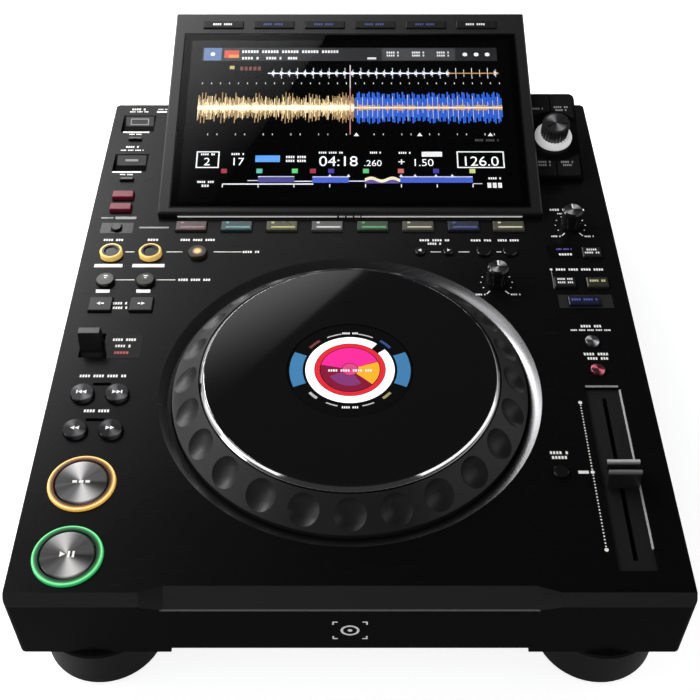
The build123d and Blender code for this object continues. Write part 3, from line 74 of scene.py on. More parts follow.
def feed(tree, made, *numbered, **named):
    """Fill a node's sockets, in their order or by name with underscores for spaces; returns the node."""
    for number, value in enumerate(numbered):
        fill(tree, made.inputs[number], value)
    for name, value in named.items():
        fill(tree, made.inputs[name.replace("_", " ")], value)
    return made


def calc(tree, operation, *values):
    """The outcome of one sum on one to three values."""
    return feed(tree, node(tree, "Math", operation=operation), *values).outputs[0]


def vectors(tree, operation, *values):
    """The outcome of one sum on vectors: a vector, or for a length, distance or dot product a number."""
    made = feed(tree, node(tree, "VectorMath", operation=operation), *values)
    return made.outputs["Value" if operation in ("LENGTH", "DISTANCE", "DOT_PRODUCT") else "Vector"]


def blend(tree, factor, below, above, kind="MIX"):
    """Two colours put together by a factor."""
    made = node(tree, "Mix", data_type="RGBA", blend_type=kind)
    for number, value in ((0, factor), (6, below), (7, above)):
        fill(tree, made.inputs[number], value)
    return made.outputs[2]


def remap(tree, value, low, high, to_low=0.0, to_high=1.0, kind="LINEAR"):
    """A value carried from one range to another and held at its ends."""
    made = node(tree, "MapRange", interpolation_type=kind)
    return feed(tree, made, value, low, high, to_low, to_high).outputs[0]


def here(tree):
    """The point being shaded, in the piece's own metres."""
    return node(tree, "TexCoord").outputs["Object"]


def noise(tree, scale, detail=2.0, roughness=0.5, place=None):
    """Cloudy noise from 0 to 1 over the piece, with its scale in lumps per metre."""
    made = feed(tree, node(tree, "TexNoise"), Vector=place or here(tree), Scale=scale, Detail=detail)
    return feed(tree, made, Roughness=roughness).outputs["Fac"]


def axes(tree):
    """The X, Y and Z of the point being shaded."""
    return feed(tree, node(tree, "SeparateXYZ"), here(tree)).outputs


def bumped(tree, height, distance, strength):
    """The normal of a surface with bumps of this height, in metres."""
    return feed(tree, node(tree, "Bump"), Height=height, Distance=distance, Strength=strength).outputs[0]


def empty_material(name):
    """A material without nodes, and its tree."""
    material = bpy.data.materials.new(name)
    material.use_nodes = True
    material.node_tree.nodes.clear()
    return material, material.node_tree


def surface(tree, **inputs):
    """A principled shader with these inputs, put out as the surface."""
    shader = feed(tree, node(tree, "BsdfPrincipled"), **inputs)
    feed(tree, node(tree, "OutputMaterial"), shader.outputs[0])


def staged(name, bm, material, seen=True):
    """A thing of the studio from its mesh and material, unseen by the camera or not."""
    mesh = bpy.data.meshes.new(name)
    bm.to_mesh(mesh)
    bm.free()
    mesh.materials.append(material)
    made = bpy.data.objects.new(name, mesh)
    scene.collection.objects.link(made)
    made.visible_camera = seen


world = bpy.data.worlds.new("studio")
world.use_nodes = True
scene.world = world
tree = world.node_tree
tree.nodes.clear()
# the backdrop is bright at the horizon and dark overhead; the camera sees it plain white
up = feed(tree, node(tree, "SeparateXYZ"), node(tree, "TexCoord").outputs["Generated"]).outputs["Z"]
backdrop = remap(tree, up, 0.02, 0.30, 0.55, 0.035, "SMOOTHSTEP")
seen = node(tree, "LightPath").outputs["Is Camera Ray"]
sky = feed(tree, node(tree, "Background"), WHITE, remap(tree, seen, 0.0, 1.0, backdrop, 1.0))
feed(tree, node(tree, "OutputWorld"), sky.outputs[0])

NEAR, FAR = 0.5, 1.6  # the paper grows as white as the backdrop between these distances
material, tree = empty_material("floor_paper")
rays = node(tree, "LightPath").outputs
away = vectors(tree, "LENGTH", here(tree))
plain = calc(tree, "MULTIPLY", rays["Is Camera Ray"], remap(tree, away, NEAR, FAR, 0.82, 1.0))
mirrored = calc(tree, "ADD", rays["Is Glossy Ray"], rays["Is Transmission Ray"])
surface(tree, Base_Color=blend(tree, rays["Is Glossy Ray"], (0.62, 0.62, 0.63), (0.15, 0.15, 0.15)),
        Roughness=0.9, Specular_IOR_Level=0.1, Emission_Color=WHITE,
        Emission_Strength=calc(tree, "MULTIPLY_ADD", mirrored, 0.07, plain),
        Normal=bumped(tree, noise(tree, 900.0), 0.0001, 0.2))
bm = bmesh.new()
bmesh.ops.create_grid(bm, x_segments=8, y_segments=8, size=2.5)
staged("floor", bm, material)


DIM_SHARE = 0.04  # what is left of a sheet's level where it is dim
RISE_FROM_TO, RISE_TIMES = (-0.30, -0.68), 11.0  # between these x, in metres, it rises this many times


def light_sheet(name, corner, along, across, level, fade=None):
    """A luminous sheet from a corner and two edges; fade is where its y - x is dim and where it is full."""
    bm = bmesh.new()
    bmesh.ops.create_grid(bm, x_segments=1, y_segments=1, size=0.5, matrix=Matrix.Translation((0.5, 0.5, 0)))
    edges = Matrix((along, across, Vector(along).cross(Vector(across)).normalized())).transposed()
    bmesh.ops.transform(bm, matrix=Matrix.Translation(corner) @ edges.to_4x4(), verts=bm.verts)
    material, tree = empty_material(name)
    if fade:
        point = axes(tree)
        skew = calc(tree, "SUBTRACT", point["Y"], point["X"])
        dimmed = remap(tree, skew, *fade, level * DIM_SHARE, level, "SMOOTHSTEP")
        level = calc(tree, "MULTIPLY", dimmed, remap(tree, point["X"], *RISE_FROM_TO, 1.0, RISE_TIMES))
    glow = feed(tree, node(tree, "Emission"), WHITE, level)
    feed(tree, node(tree, "OutputMaterial"), glow.outputs[0])
    staged(name, bm, material, seen=False)


light_sheet("sheet_rear_left", (-0.263, -0.022, 0.401), (0.816, 1.716, 0.628), (-1.5, 0.0, 0.25), 1.5,
            fade=(0.39, 0.71))
light_sheet("sheet_low_left", (-1.35, 1.12, 0.20), (1.20, 0.33, 0.0), (0.0, 0.14, 0.70), 4.5)
light_sheet("sheet_low_right", (0.25, 1.70, 0.16), (0.75, -0.30, 0.0), (0.0, 0.05, 0.36), 1.6)
STRIP_WIDTH, STRIP_LEVEL = 0.38, 1.25
for name, side in (("strip_left", -1), ("strip_right", 1)):
    near, far = Vector((side * 0.636, -0.66, 0.756)), Vector((side * 1.0776, 0.4356, 0.2832))
    across = (far - near).cross(near + far).normalized() * STRIP_WIDTH
    light_sheet(name, near - across / 2, far - near, across, STRIP_LEVEL)

for name, place, target, size, power, glossy in (
        ("lamp_front", (-0.25, -1.5, 1.05), (0.0, -0.1, 0.05), 0.9, 5.5, False),
        ("lamp_fill", (-1.0, 0.35, 1.2), (0.0, 0.0, 0.05), 0.9, 6.0, True),
        ("lamp_left", (-1.3, -0.35, 0.30), (0.0, -0.05, 0.07), 0.5, 2.0, True)):
    light = bpy.data.lights.new(name, "AREA")
    light.size, light.energy = size, power
    lamp = bpy.data.objects.new(name, light)
    scene.collection.objects.link(lamp)
    lamp.location = place
    lamp.rotation_euler = (Vector(target) - Vector(place)).to_track_quat("-Z", "Y").to_euler()
    lamp.visible_glossy = glossy

# Feet: four round black feet, moulded in plastic with a chamfered tread, and held in the chassis
# floor by a boss each. FRONT_Y and DECK_Z are the deck's front edge and height: every piece is made
# in mm from the middle of that edge.
MM = 0.001
FRONT_Y, DECK_Z = -223.8, 75.8


def spot(x, y, z=0.0):
    """Point of the deck frame, in mm from the middle of the front edge of the deck, in metres."""
    return Vector((x, y + FRONT_Y, z + DECK_Z)) * MM


def make_group(name, inputs, outputs):
    """An empty node group with number, colour or vector sockets; returns its tree, inputs and output node."""
    tree = bpy.data.node_groups.new(name, "ShaderNodeTree")
    for label, default in inputs.items():
        kind = "Float" if isinstance(default, float) else "Color" if len(default) == 4 else "Vector"
        socket = tree.interface.new_socket(name=label, in_out="INPUT", socket_type="NodeSocket" + kind)
        socket.default_value = default
    for label in outputs:
        kind = "Color" if label == "Colour" else "Float"
        tree.interface.new_socket(name=label, in_out="OUTPUT", socket_type="NodeSocket" + kind)
    return tree, tree.nodes.new("NodeGroupInput").outputs, tree.nodes.new("NodeGroupOutput")


# fine spark-eroded grain, a slow cloudy change of gloss, and thin pale rub marks
moulded_skin, given, result = make_group(
    "moulded_skin", {"Colour": (0.02, 0.02, 0.02, 1.0), "Roughness": 0.5, "Spread": 0.08,
                     "Grain Size": 1600.0, "Rub": 0.2}, ("Colour", "Roughness", "Height"))
tree = moulded_skin
grain = noise(tree, given["Grain Size"], 3.0, 0.6)
cloud = calc(tree, "SUBTRACT", noise(tree, 11.0, 5.0, 0.6), 0.5)
drawn_out = feed(tree, node(tree, "Mapping"), here(tree), Rotation=(0.0, 0.0, 0.7), Scale=(60.0, 900.0, 60.0))
streak = noise(tree, 1.0, place=drawn_out.outputs[0])
rubbed = calc(tree, "MULTIPLY", remap(tree, streak, 0.66, 0.80), given["Rub"])
rough = calc(tree, "MULTIPLY_ADD", cloud, given["Spread"], given["Roughness"])
paler = blend(tree, rubbed, given["Colour"], (0.012, 0.012, 0.012), "ADD")
feed(tree, result, Roughness=calc(tree, "MULTIPLY_ADD", rubbed, 0.15, rough), Height=grain,
     Colour=blend(tree, 1.0, paler, remap(tree, grain, 0.0, 1.0, 0.86, 1.14), "MULTIPLY"))


def moulded(name, colour, roughness, grain=1600.0, depth=0.02, spread=0.08, rub=0.2, metallic=0.0,
            specular=0.5):
    """Moulded, painted or plated finish: colour, gloss, and grain in bumps per metre with its depth in mm."""
    material, tree = empty_material(name)
    skin = node(tree, "Group", node_tree=moulded_skin)
    skin = feed(tree, skin, colour, roughness, spread, grain, rub).outputs
    surface(tree, Base_Color=skin["Colour"], Roughness=skin["Roughness"], Metallic=metallic,
            Specular_IOR_Level=specular, Normal=bumped(tree, skin["Height"], depth * MM, 0.6))
    return material


def opened(material):
    """A moulded material's tree, the outputs of its skin and its shader, for masks to go between."""
    nodes = material.node_tree.nodes
    return material.node_tree, nodes["Group"].outputs, nodes["Principled BSDF"]


def dress(name, material):
    """Give a solid its finish."""
    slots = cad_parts[name].data.materials
    slots.clear()
    slots.append(material)


dress("feet", moulded("foot_plastic", (0.0075, 0.0075, 0.008), 0.22, grain=1200.0, depth=0.004))

# Chassis: a folded tray that closes the cabinet below, and a rear panel let into the back of the
# cover, both of sheet steel, powder-coated black and screwed on.
powder_coat = moulded("powder_coat", (0.022, 0.022, 0.024), 0.55, grain=2600.0, depth=0.05, spread=0.12)
for name in ("bottom_chassis", "rear_panel"):
    dress(name, powder_coat)

# Connectors: black moulded sockets and the power button, pushed through openings in the rear panel.
# The shells of the two memory stick sockets hang under the deck.
dress("connectors", moulded("socket_plastic", (0.02, 0.02, 0.02), 0.45, depth=0.01))
dress("power_button", moulded("button_plastic", (0.03, 0.03, 0.032), 0.4, depth=0.01))

# Boards and supply: green lacquered glass-fibre boards with their switches, on stand-offs,
# and a closed supply case of folded aluminium.
dress("circuit_boards", moulded("board_lacquer", (0.01, 0.07, 0.03), 0.35, grain=300.0, spread=0.2))
dress("power_supply", moulded("bare_aluminium", (0.5, 0.5, 0.51), 0.4, metallic=1.0, rub=0.5))

# Top cover: one black moulding with a fine satin grain. Its front slope is painted paler as a sheen, with a
# thin painted highlight line along its lower edge, and the wall of the dial's well is painted darker as
# shade.
# A rolled ring of black chrome is pressed into the mouth of the dial's well.
SLOPE_NORMAL = (0.0, -0.7, 0.714)
EDGE_DEPTH, LIP_HALF = 8.0, 90.5  # the slope's lower edge under the deck, and half the raised lip's length
JOG, WELL_RADIUS = (0.0, 135.7), 105.0


def radius_from(tree, *middles):
    """Distance over the deck, in mm, from the nearest of the given points."""
    flat = vectors(tree, "MULTIPLY", here(tree), (1.0, 1.0, 0.0))
    nearest = None
    for x, y in middles:
        away = vectors(tree, "DISTANCE", flat, (*spot(x, y).xy, 0.0))
        nearest = calc(tree, "MINIMUM", nearest, away) if nearest else away
    return calc(tree, "MULTIPLY", nearest, 1.0 / MM)


cover_plastic = moulded("cover_plastic", (0.0036, 0.0036, 0.0039), 0.27, grain=1900.0, depth=0.012,
                        specular=0.085)
tree, skin, shader = opened(cover_plastic)
point = axes(tree)
# the well's wall below the deck is painted darker: painted shade in the recess
inside = calc(tree, "LESS_THAN", radius_from(tree, JOG), WELL_RADIUS + 0.05)
well_painted_shade = calc(tree, "MULTIPLY", inside, calc(tree, "LESS_THAN", point["Z"], spot(0, 0, -0.05).z))
# the slope that faces the front is painted paler: a painted sheen
slope_painted_sheen = vectors(tree, "DOT_PRODUCT", node(tree, "NewGeometry").outputs["Normal"], SLOPE_NORMAL)
# a thin pale band along the slope's lower edge under the lip: a painted highlight line
off_edge = calc(tree, "ABSOLUTE", calc(tree, "SUBTRACT", point["Z"], spot(0, 0, -EDGE_DEPTH).z))
edge = remap(tree, off_edge, 0.35 * MM, 0.6 * MM, 1.0, 0.0)
edge = calc(tree, "MULTIPLY", edge, calc(tree, "LESS_THAN", point["Y"], spot(0, 0.6).y))
edge = calc(tree, "MULTIPLY", edge, calc(tree, "COMPARE", point["X"], 0.0, LIP_HALF * MM))
tint = blend(tree, well_painted_shade, skin["Colour"], (0.002, 0.002, 0.002))
tint = blend(tree, remap(tree, slope_painted_sheen, 0.962, 0.985), tint, (0.026, 0.0255, 0.025))
feed(tree, shader, Base_Color=blend(tree, edge, tint, (0.15, 0.15, 0.15)))
dress("top_cover", cover_plastic)


def turned(outline, place, round_at=(), radius=0.0, steps=192, closed=False):
    """A ring turned about Z from its (radius, height) outline, with some corners rounded, and placed."""
    bm = bmesh.new()
    verts = [bm.verts.new((r, 0.0, z)) for r, z in outline]
    for pair in zip(verts, verts[1:] + verts[:1] if closed else verts[1:]):
        bm.edges.new(pair)
    if round_at:
        bmesh.ops.bevel(bm, geom=[verts[n] for n in round_at], offset=radius, affect="VERTICES", segments=3,
                        profile=0.5, material=-1)
    bmesh.ops.spin(bm, geom=bm.verts[:] + bm.edges[:], axis=(0, 0, 1), cent=(0, 0, 0), angle=math.tau,
                   steps=steps, use_merge=True)
    bmesh.ops.remove_doubles(bm, verts=bm.verts, dist=0.001)
    bmesh.ops.recalc_face_normals(bm, faces=bm.faces)
    bmesh.ops.transform(bm, matrix=place, verts=bm.verts)
    return bm


def finish_piece(bm, name, material, body="chassis", smooth=35.0):
    """Move a bmesh from mm of the deck frame to its place, and make it a piece that rides on a body."""
    bmesh.ops.transform(bm, matrix=Matrix.Translation(spot(0, 0)) @ Matrix.Scale(MM, 4), verts=bm.verts)
    mesh = bpy.data.meshes.new(name)
    bm.to_mesh(mesh)
    bm.free()
    if smooth:
        mesh.shade_smooth()
        mesh.set_sharp_from_angle(angle=math.radians(smooth))
    mesh.materials.append(material)
    piece = bpy.data.objects.new(name, mesh)
    scene.collection.objects.link(piece)
    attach(piece, body)


black_chrome = moulded("black_chrome", (0.20, 0.20, 0.204), 0.24, metallic=1.0, depth=0.001, spread=0.06,
                       rub=0.4)
bm = turned([(98.4, -3.6), (100.4, -1.75), (104.95, 0.03), (105.0, -0.2), (99.0, -11.0)],
            Matrix.Translation((*JOG, 0.0)), round_at=(1,), radius=2.6, closed=True)
finish_piece(bm, "well_ring", black_chrome)


def ink(name, colour, glow=0.0, roughness=0.5):
    """Printed ink with a little wear; a glow is a lit mark over a lamp, and painted light on plain print."""
    material, tree = empty_material(name)
    wear = noise(tree, 1500.0)
    tint = blend(tree, 1.0, colour, remap(tree, wear, 0.0, 1.0, 0.75, 1.2), "MULTIPLY")
    surface(tree, Base_Color=tint, Roughness=remap(tree, wear, 0.0, 1.0, roughness * 0.8, roughness * 1.2),
            Emission_Color=tint, Emission_Strength=glow)
    return material


# the white and grey print glows a little: painted light that brightens plain print
white_ink_painted_glow = ink("white_ink_painted_glow", (0.80, 0.80, 0.78), 0.20)
grey_ink_painted_glow = ink("grey_ink_painted_glow", (0.26, 0.26, 0.26), 0.12)
LAYER = 0.05  # height of a print over its face
DECK = Matrix.Identity(4)


def turn_about(axis, angle):
    """A turn about an axis, in degrees."""
    return Matrix.Rotation(math.radians(angle), 4, axis)


def bar(bm, x, y, width, length, turn=0.0, plane=DECK):
    """A flat printed bar about (x, y) of a plane."""
    place = plane @ Matrix.Translation((x, y, LAYER)) @ turn_about("Z", turn)
    bmesh.ops.create_grid(bm, x_segments=1, y_segments=1, size=0.5,
                          matrix=place @ Matrix.Diagonal((width, length, 1.0, 1.0)))


def span(bm, x0, x1, y, length, plane=DECK):
    """A printed bar from x0 to x1."""
    bar(bm, (x0 + x1) / 2, y, x1 - x0, length, plane=plane)


def words(bm, x0, x1, y, height, gap=4, plane=DECK):
    """A row of small blocks from x0 to x1 in the place of a label, with a space after every few."""
    count = max(1, round((x1 - x0) / (height * 0.82)))
    pitch = (x1 - x0) / count
    for n in range(count):
        if count < gap + 2 or n % (gap + 1) != gap:
            bar(bm, x0 + pitch * (n + 0.5), y, pitch * 0.7, height, plane=plane)


def dot(bm, x, y, size, segments=12, turn=0.0, plane=DECK):
    """A flat printed disc, or a regular shape of fewer sides."""
    place = plane @ Matrix.Translation((x, y, LAYER)) @ turn_about("Z", turn)
    bmesh.ops.create_circle(bm, cap_ends=True, segments=segments, radius=size / 2, matrix=place)


def arrow(bm, x, y, size, turn=0.0, plane=DECK):
    """A flat printed triangle that points to +x, or turned from there."""
    dot(bm, x, y, size / 0.75, 3, turn - 90.0, plane)


def outline(bm, x0, x1, y0, y1, line, plane=DECK):
    """A printed rectangular frame."""
    for y in (y0, y1):
        span(bm, x0 - line / 2, x1 + line / 2, y, line, plane)
    for x in (x0, x1):
        bar(bm, x, (y0 + y1) / 2, line, y1 - y0 - line, plane=plane)


def printed(name, material, marks, body="chassis", plane=DECK, film=0.03):
    """A print on a plane, from rows of a mark and its measures, with a film's thickness in mm."""
    bm = bmesh.new()
    for mark, *measures in marks:
        mark(bm, *measures, plane=plane)
    for face in bmesh.ops.extrude_discrete_faces(bm, faces=bm.faces[:])["faces"]:
        bmesh.ops.translate(bm, vec=face.normal * film, verts=face.verts)
    finish_piece(bm, name, material, body, smooth=0.0)


# Cover print: labels, dashes and lines screen-printed on the deck in white and grey ink, with a little
# painted glow.
# Rows of small blocks stand where words would be.
LABELS = ((-153.3, -140.9, 258.2), (-126.0, -119.1, 258.2), (-105.5, -82.4, 258.2), (-66.2, -55.7, 247.0),
          (-103.3, -83.8, 221.8), (-139.8, -131.0, 201.6), (-139.2, -130.4, 197.8), (-150.1, -124.0, 143.7),
          (-143.8, -129.8, 118.2), (43.1, 61.8, 257.9), (47.9, 56.6, 254.6), (74.8, 87.9, 257.8),
          (91.6, 106.5, 257.8), (127.3, 149.7, 287.4), (124.5, 153.5, 231.0), (133.0, 145.1, 182.6),
          (131.7, 145.8, 160.4), (133.4, 145.3, 157.0), (104.2, 114.1, 89.4), (104.9, 113.2, 86.2),
          (-153.4, -143.6, 397.6), (-152.0, -143.0, 353.9))
SMALL_LABELS = ((-154.5, -141.4, 394.6), (-155.0, -139.4, 350.2), (-151.5, -142.0, 368.2),
                (-152.0, -142.5, 323.8), (126.8, 151.0, 179.4), (131.9, 136.4, 283.6),
                (-135.0, -128.4, 397.6))
PLATES = ((-155.4, -138.3, 234.5, 2.9), (-132.3, -112.8, 234.5, 2.9), (-151.1, -142.9, 212.0, 2.8),
          (-127.1, -118.7, 212.0, 2.8), (-135.5, -128.4, 394.6, 1.9), (-155.9, -138.0, 370.6, 1.5),
          (-157.3, -138.1, 326.4, 1.5), (117.6, 123.0, 76.6, 1.9))
LINES = ((-138.2, -132.6, 247.0), (-113.0, -103.1, 247.0), (-84.0, -66.8, 247.0), (-140.8, -129.4, 221.8),
         (-116.2, -104.8, 221.8), (49.5, 56.2, 247.0), (66.7, 73.5, 247.0), (90.1, 93.1, 247.0))
printed("cover_print_white", white_ink_painted_glow,
        [(words, *row, 1.9) for row in LABELS] + [(words, *row, 1.2) for row in SMALL_LABELS]
        + [(span, *row) for row in PLATES] + [(span, *row, 0.6) for row in LINES]
        + [(dot, 121.8, 231.0, 1.8)])
printed("cover_print_grey", grey_ink_painted_glow,
        [(span, -157.7, -150.1, 279.4, 1.2), (span, -148.8, -135.5, 279.4, 2.4),
         (span, -132.5, -113.9, 270.0, 1.4), (span, 129.3, 147.4, 135.9, 1.4),
         (bar, 121.8, 222.5, 0.35, 16.0)])

# Transport light rings: clear frosted plastic rings, pressed into the deck from below and lit by
# the key board, amber round the cue key and green round the play key.
PLAY, CUE = (-137.0, 25.3), (-137.0, 69.2)
RING_INSIDE, RING_OUTSIDE = 14.3, 17.4


def ramp(tree, value, *stops):
    """The colour of a value on a ramp of (position, colour) stops."""
    made = node(tree, "ValToRGB")
    for n, (position, colour) in enumerate(stops):
        stop = made.color_ramp.elements[n] if n < 2 else made.color_ramp.elements.new(position)
        stop.position, stop.color = position, (*colour, 1.0)
    return feed(tree, made, value).outputs["Color"]


material, tree = empty_material("ring_light")
upper = calc(tree, "GREATER_THAN", axes(tree)["Y"], spot(0, (PLAY[1] + CUE[1]) / 2).y)
across = remap(tree, radius_from(tree, PLAY, CUE), RING_INSIDE, RING_OUTSIDE)
green = ramp(tree, across, (0.25, (0.0, 0.02, 0.006)), (0.55, (0.01, 0.24, 0.05)),
             (0.76, (0.22, 0.68, 0.32)), (0.98, (0.01, 0.30, 0.07)))
amber = ramp(tree, across, (0.25, (0.03, 0.008, 0.002)), (0.55, (0.40, 0.18, 0.015)),
             (0.76, (0.95, 0.66, 0.30)), (0.98, (0.55, 0.29, 0.04)))
colour = blend(tree, upper, green, amber)
surface(tree, Base_Color=colour, Emission_Color=colour, Roughness=0.3,
        Emission_Strength=remap(tree, noise(tree, 260.0, 3.0), 0.0, 1.0, 0.75, 0.95))
dress("light_rings", material)

# Play and cue keys: turned aluminium caps with a finely spun face, with two bright fans painted into its
# colour as highlights.
# Their symbols are printed on, and each cap is glued to the moulded key that a flange holds in the deck.
spun_face_painted_fans, given, result = make_group(
    "spun_face_painted_fans", {"Middle": (0.0, 0.0, 0.0), "Colour": (0.3, 0.3, 0.3, 1.0), "Roughness": 0.3,
                  "Rings": 2500.0, "Wedge Turn": 1.95}, ("Colour", "Roughness", "Height"))
tree = spun_face_painted_fans
offset = vectors(tree, "SUBTRACT", here(tree), given["Middle"])
point = feed(tree, node(tree, "SeparateXYZ"), offset).outputs
flat = feed(tree, node(tree, "CombineXYZ"), point["X"], point["Y"]).outputs[0]
radius = vectors(tree, "LENGTH", flat)
turn = calc(tree, "ARCTAN2", point["Y"], point["X"])
groove = node(tree, "TexNoise", noise_dimensions="1D")
groove = feed(tree, groove, W=calc(tree, "MULTIPLY", radius, given["Rings"]), Scale=1.0).outputs["Fac"]
# the colour is multiplied by a faint painted sheen that changes round the face and by two bright fans:
# painted highlights at a set turn
fan = node(tree, "TexNoise", noise_dimensions="1D")
fan = feed(tree, fan, W=turn, Scale=1.6, Detail=3.0).outputs["Fac"]
painted_fans = calc(tree, "ABSOLUTE", calc(tree, "COSINE", calc(tree, "SUBTRACT", turn, given["Wedge Turn"])))
faint = remap(tree, fan, 0.35, 0.65, 0.10, 0.50)
level = calc(tree, "MULTIPLY_ADD", calc(tree, "POWER", painted_fans, 8.0), 5.0, faint)
feed(tree, result, Colour=blend(tree, 1.0, given["Colour"], level, "MULTIPLY"), Height=groove,
     Roughness=calc(tree, "ADD", remap(tree, groove, 0.0, 1.0, -0.06, 0.06), given["Roughness"]))


def spun(name, middle, colour=(0.15, 0.147, 0.147), roughness=0.22, wedge=1.95):
    """Spun metal about a point of the deck frame, with two painted highlight fans in its colour; wedge is the
    turn, in radians, of those fans.
    """
    material, tree = empty_material(name)
    face = feed(tree, node(tree, "Group", node_tree=spun_face_painted_fans), spot(*middle), colour, roughness)
    face = feed(tree, face, Wedge_Turn=wedge).outputs
    surface(tree, Base_Color=face["Colour"], Metallic=0.35, Roughness=face["Roughness"], Anisotropic=0.85,
            Normal=bumped(tree, face["Height"], 0.00002, 0.5),
            Tangent=node(tree, "Tangent", direction_type="RADIAL", axis="Z").outputs[0])
    return material


def over(plane, height):
    """The plane this many mm over another."""
    return plane @ Matrix.Translation((0.0, 0.0, height))


def raised(name):
    """The plane of a node's top, with its origin over that of the deck."""
    return over(DECK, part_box(name)[1][2] / MM - DECK_Z)


def middle_of(name):
    """Middle of a node at rest, in mm of the deck frame."""
    low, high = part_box(name)
    return (low[0] + high[0]) / 2 / MM, (low[1] + high[1]) / 2 / MM - FRONT_Y


def top_of(name):
    """The plane of a node's top, with its origin in the node's middle."""
    return raised(name) @ Matrix.Translation((*middle_of(name), 0.0))


dress("play_pause_key", spun("spun_play", PLAY))
dress("cue_key", spun("spun_cue", CUE))
printed("play_symbol", white_ink_painted_glow,
        [(arrow, -2.6, 0.0, 2.8), (bar, 0.9, 0.0, 1.1, 3.6), (bar, 3.1, 0.0, 1.1, 3.6)],
        "play_pause_key", top_of("play_pause_key"))
printed("cue_symbol", white_ink_painted_glow, [(bar, x, 0.0, 2.3, 1.6) for x in (-3.3, 0.0, 3.3)],
        "cue_key", top_of("cue_key"))

# Search keys: four black caps in two pairs with spun tops and printed arrows, each held by a
# flange under the deck. A matt black bar is printed on the cover between the two of each pair.
gloss_black = moulded("gloss_black", (0.007, 0.007, 0.0075), 0.12, depth=0.004, specular=0.3)
key_plastic = moulded("key_plastic", (0.009, 0.009, 0.0095), 0.36, depth=0.01, specular=0.25)


def toward(side):
    """The turn of an arrow that points to the left (-1) or to the right (1)."""
    return 90.0 - 90.0 * side


for name, side in (("search_back", -1), ("search_forward", 1), ("track_search_back", -1),
                   ("track_search_forward", 1)):
    key = name + "_key"
    dress(key, spun("spun_" + key, middle_of(key), colour=(0.028, 0.028, 0.0295), roughness=0.10, wedge=2.2))
    marks = [(arrow, side * step, 0.0, 2.3, toward(side)) for step in (-1.7, 0.7)]
    if name.startswith("track"):
        marks.append((bar, side * 2.7, 0.0, 0.7, 2.4))
    printed(name + "_arrows", white_ink_painted_glow, marks, key, top_of(key))
bridge_black = moulded("bridge_black", (0.001, 0.001, 0.001), 0.6, rub=0.0, specular=0.0)
printed("search_bridges", bridge_black, [(span, -141.6, -131.6, y, 2.0) for y in (112.0, 137.6)])

# Direction lever: a black moulded rocker in a slot, pivoted on a drum between two ears under the
# deck. A thin label plate of gloss black plastic is bonded to the deck beside it.
dress("direction_lever", moulded("lever_plastic", (0.012, 0.012, 0.013), 0.3, depth=0.006))


def thin_plate(x0, x1, y0, y1, thickness, corner, plane=DECK):
    """A flat plate lying on a plane, with round corners."""
    bm = bmesh.new()
    middle = Matrix.Translation(((x0 + x1) / 2, (y0 + y1) / 2, thickness / 2 + 0.01))
    bmesh.ops.create_cube(bm, size=1.0, matrix=middle @ Matrix.Diagonal((x1 - x0, y1 - y0, thickness, 1.0)))
    upright = [e for e in bm.edges if abs(e.verts[0].co.z - e.verts[1].co.z) > thickness / 2]
    bmesh.ops.bevel(bm, geom=upright, offset=corner, affect="EDGES", segments=4, profile=0.5, material=-1)
    bmesh.ops.transform(bm, matrix=plane, verts=bm.verts)
    return bm


PLATE_THICKNESS = 0.12
PLATE_FACE = over(DECK, PLATE_THICKNESS + 0.01)
window_gloss = moulded("window_gloss", (0.003, 0.003, 0.0034), 0.06, depth=0.0005, spread=0.03, specular=0.2)
bm = thin_plate(-138.5, -118.5, 157.0, 176.0, PLATE_THICKNESS, 0.8)
finish_piece(bm, "direction_plate", window_gloss)
printed("direction_plate_marks", white_ink_painted_glow,
        [(words, -135.5, -122.0, 171.6, 1.9), (words, -133.5, -124.5, 166.6, 1.9)], plane=PLATE_FACE)
printed("direction_plate_red_mark", ink("red_ink", (0.35, 0.03, 0.03), 0.5),
        [(words, -133.5, -125.0, 161.4, 1.9)], plane=PLATE_FACE)

# Beat jump keys: two square satin black caps with a printed arrow each,
# moulded in one with the flange that holds them under the deck.
for way, side in (("back", -1), ("forward", 1)):
    key = f"beat_jump_{way}_key"
    dress(key, key_plastic)
    printed(f"beat_jump_{way}_arrow", white_ink_painted_glow,
            [(arrow, side * 0.8, 0.0, 2.3, toward(side)), (bar, -side * 1.3, 0.0, 1.5, 1.0)],
            key, top_of(key))

# Loop keys: two dished black caps whose clear rims are lit amber from below, and a domed amber
# reloop cap with a lamp under its middle. All are moulded, with a flange under the deck.
LOOP_IN, LOOP_OUT = middle_of("loop_in_key"), middle_of("loop_out_key")
RIM_INSIDE, RIM_LIT = 5.2, 5.7  # mm from a loop key's middle where its rim begins, and where it is fully lit
material, tree = empty_material("loop_rim_light")
rim = remap(tree, radius_from(tree, LOOP_IN, LOOP_OUT), RIM_INSIDE, RIM_LIT)
tint = blend(tree, rim, (0.004, 0.003, 0.002), (0.80, 0.52, 0.15))
frost = remap(tree, noise(tree, 400.0, 3.0), 0.0, 1.0, 0.20, 0.70)
surface(tree, Base_Color=tint, Emission_Color=tint, Emission_Strength=calc(tree, "MULTIPLY", frost, rim),
        Roughness=0.14, Specular_IOR_Level=0.35)
for name in ("loop_in_key", "loop_out_key"):
    dress(name, material)


def lit_top(name, middles, heart, edge, glow):
    """Glossy smoked cap with a lamp under its middle: heart is its lit colour, edge its own."""
    material, tree = empty_material(name)
    tint = blend(tree, remap(tree, radius_from(tree, *middles), 0.6, 3.6, kind="SMOOTHSTEP"), heart, edge)
    surface(tree, Base_Color=tint, Roughness=remap(tree, noise(tree, 500.0, 3.0), 0.0, 1.0, 0.10, 0.18),
            Emission_Color=tint, Emission_Strength=glow)
    return material


RELOOP = middle_of("reloop_key")
dress("reloop_key", lit_top("amber_cap", [RELOOP], (0.85, 0.50, 0.20), (0.012, 0.008, 0.005), 0.5))

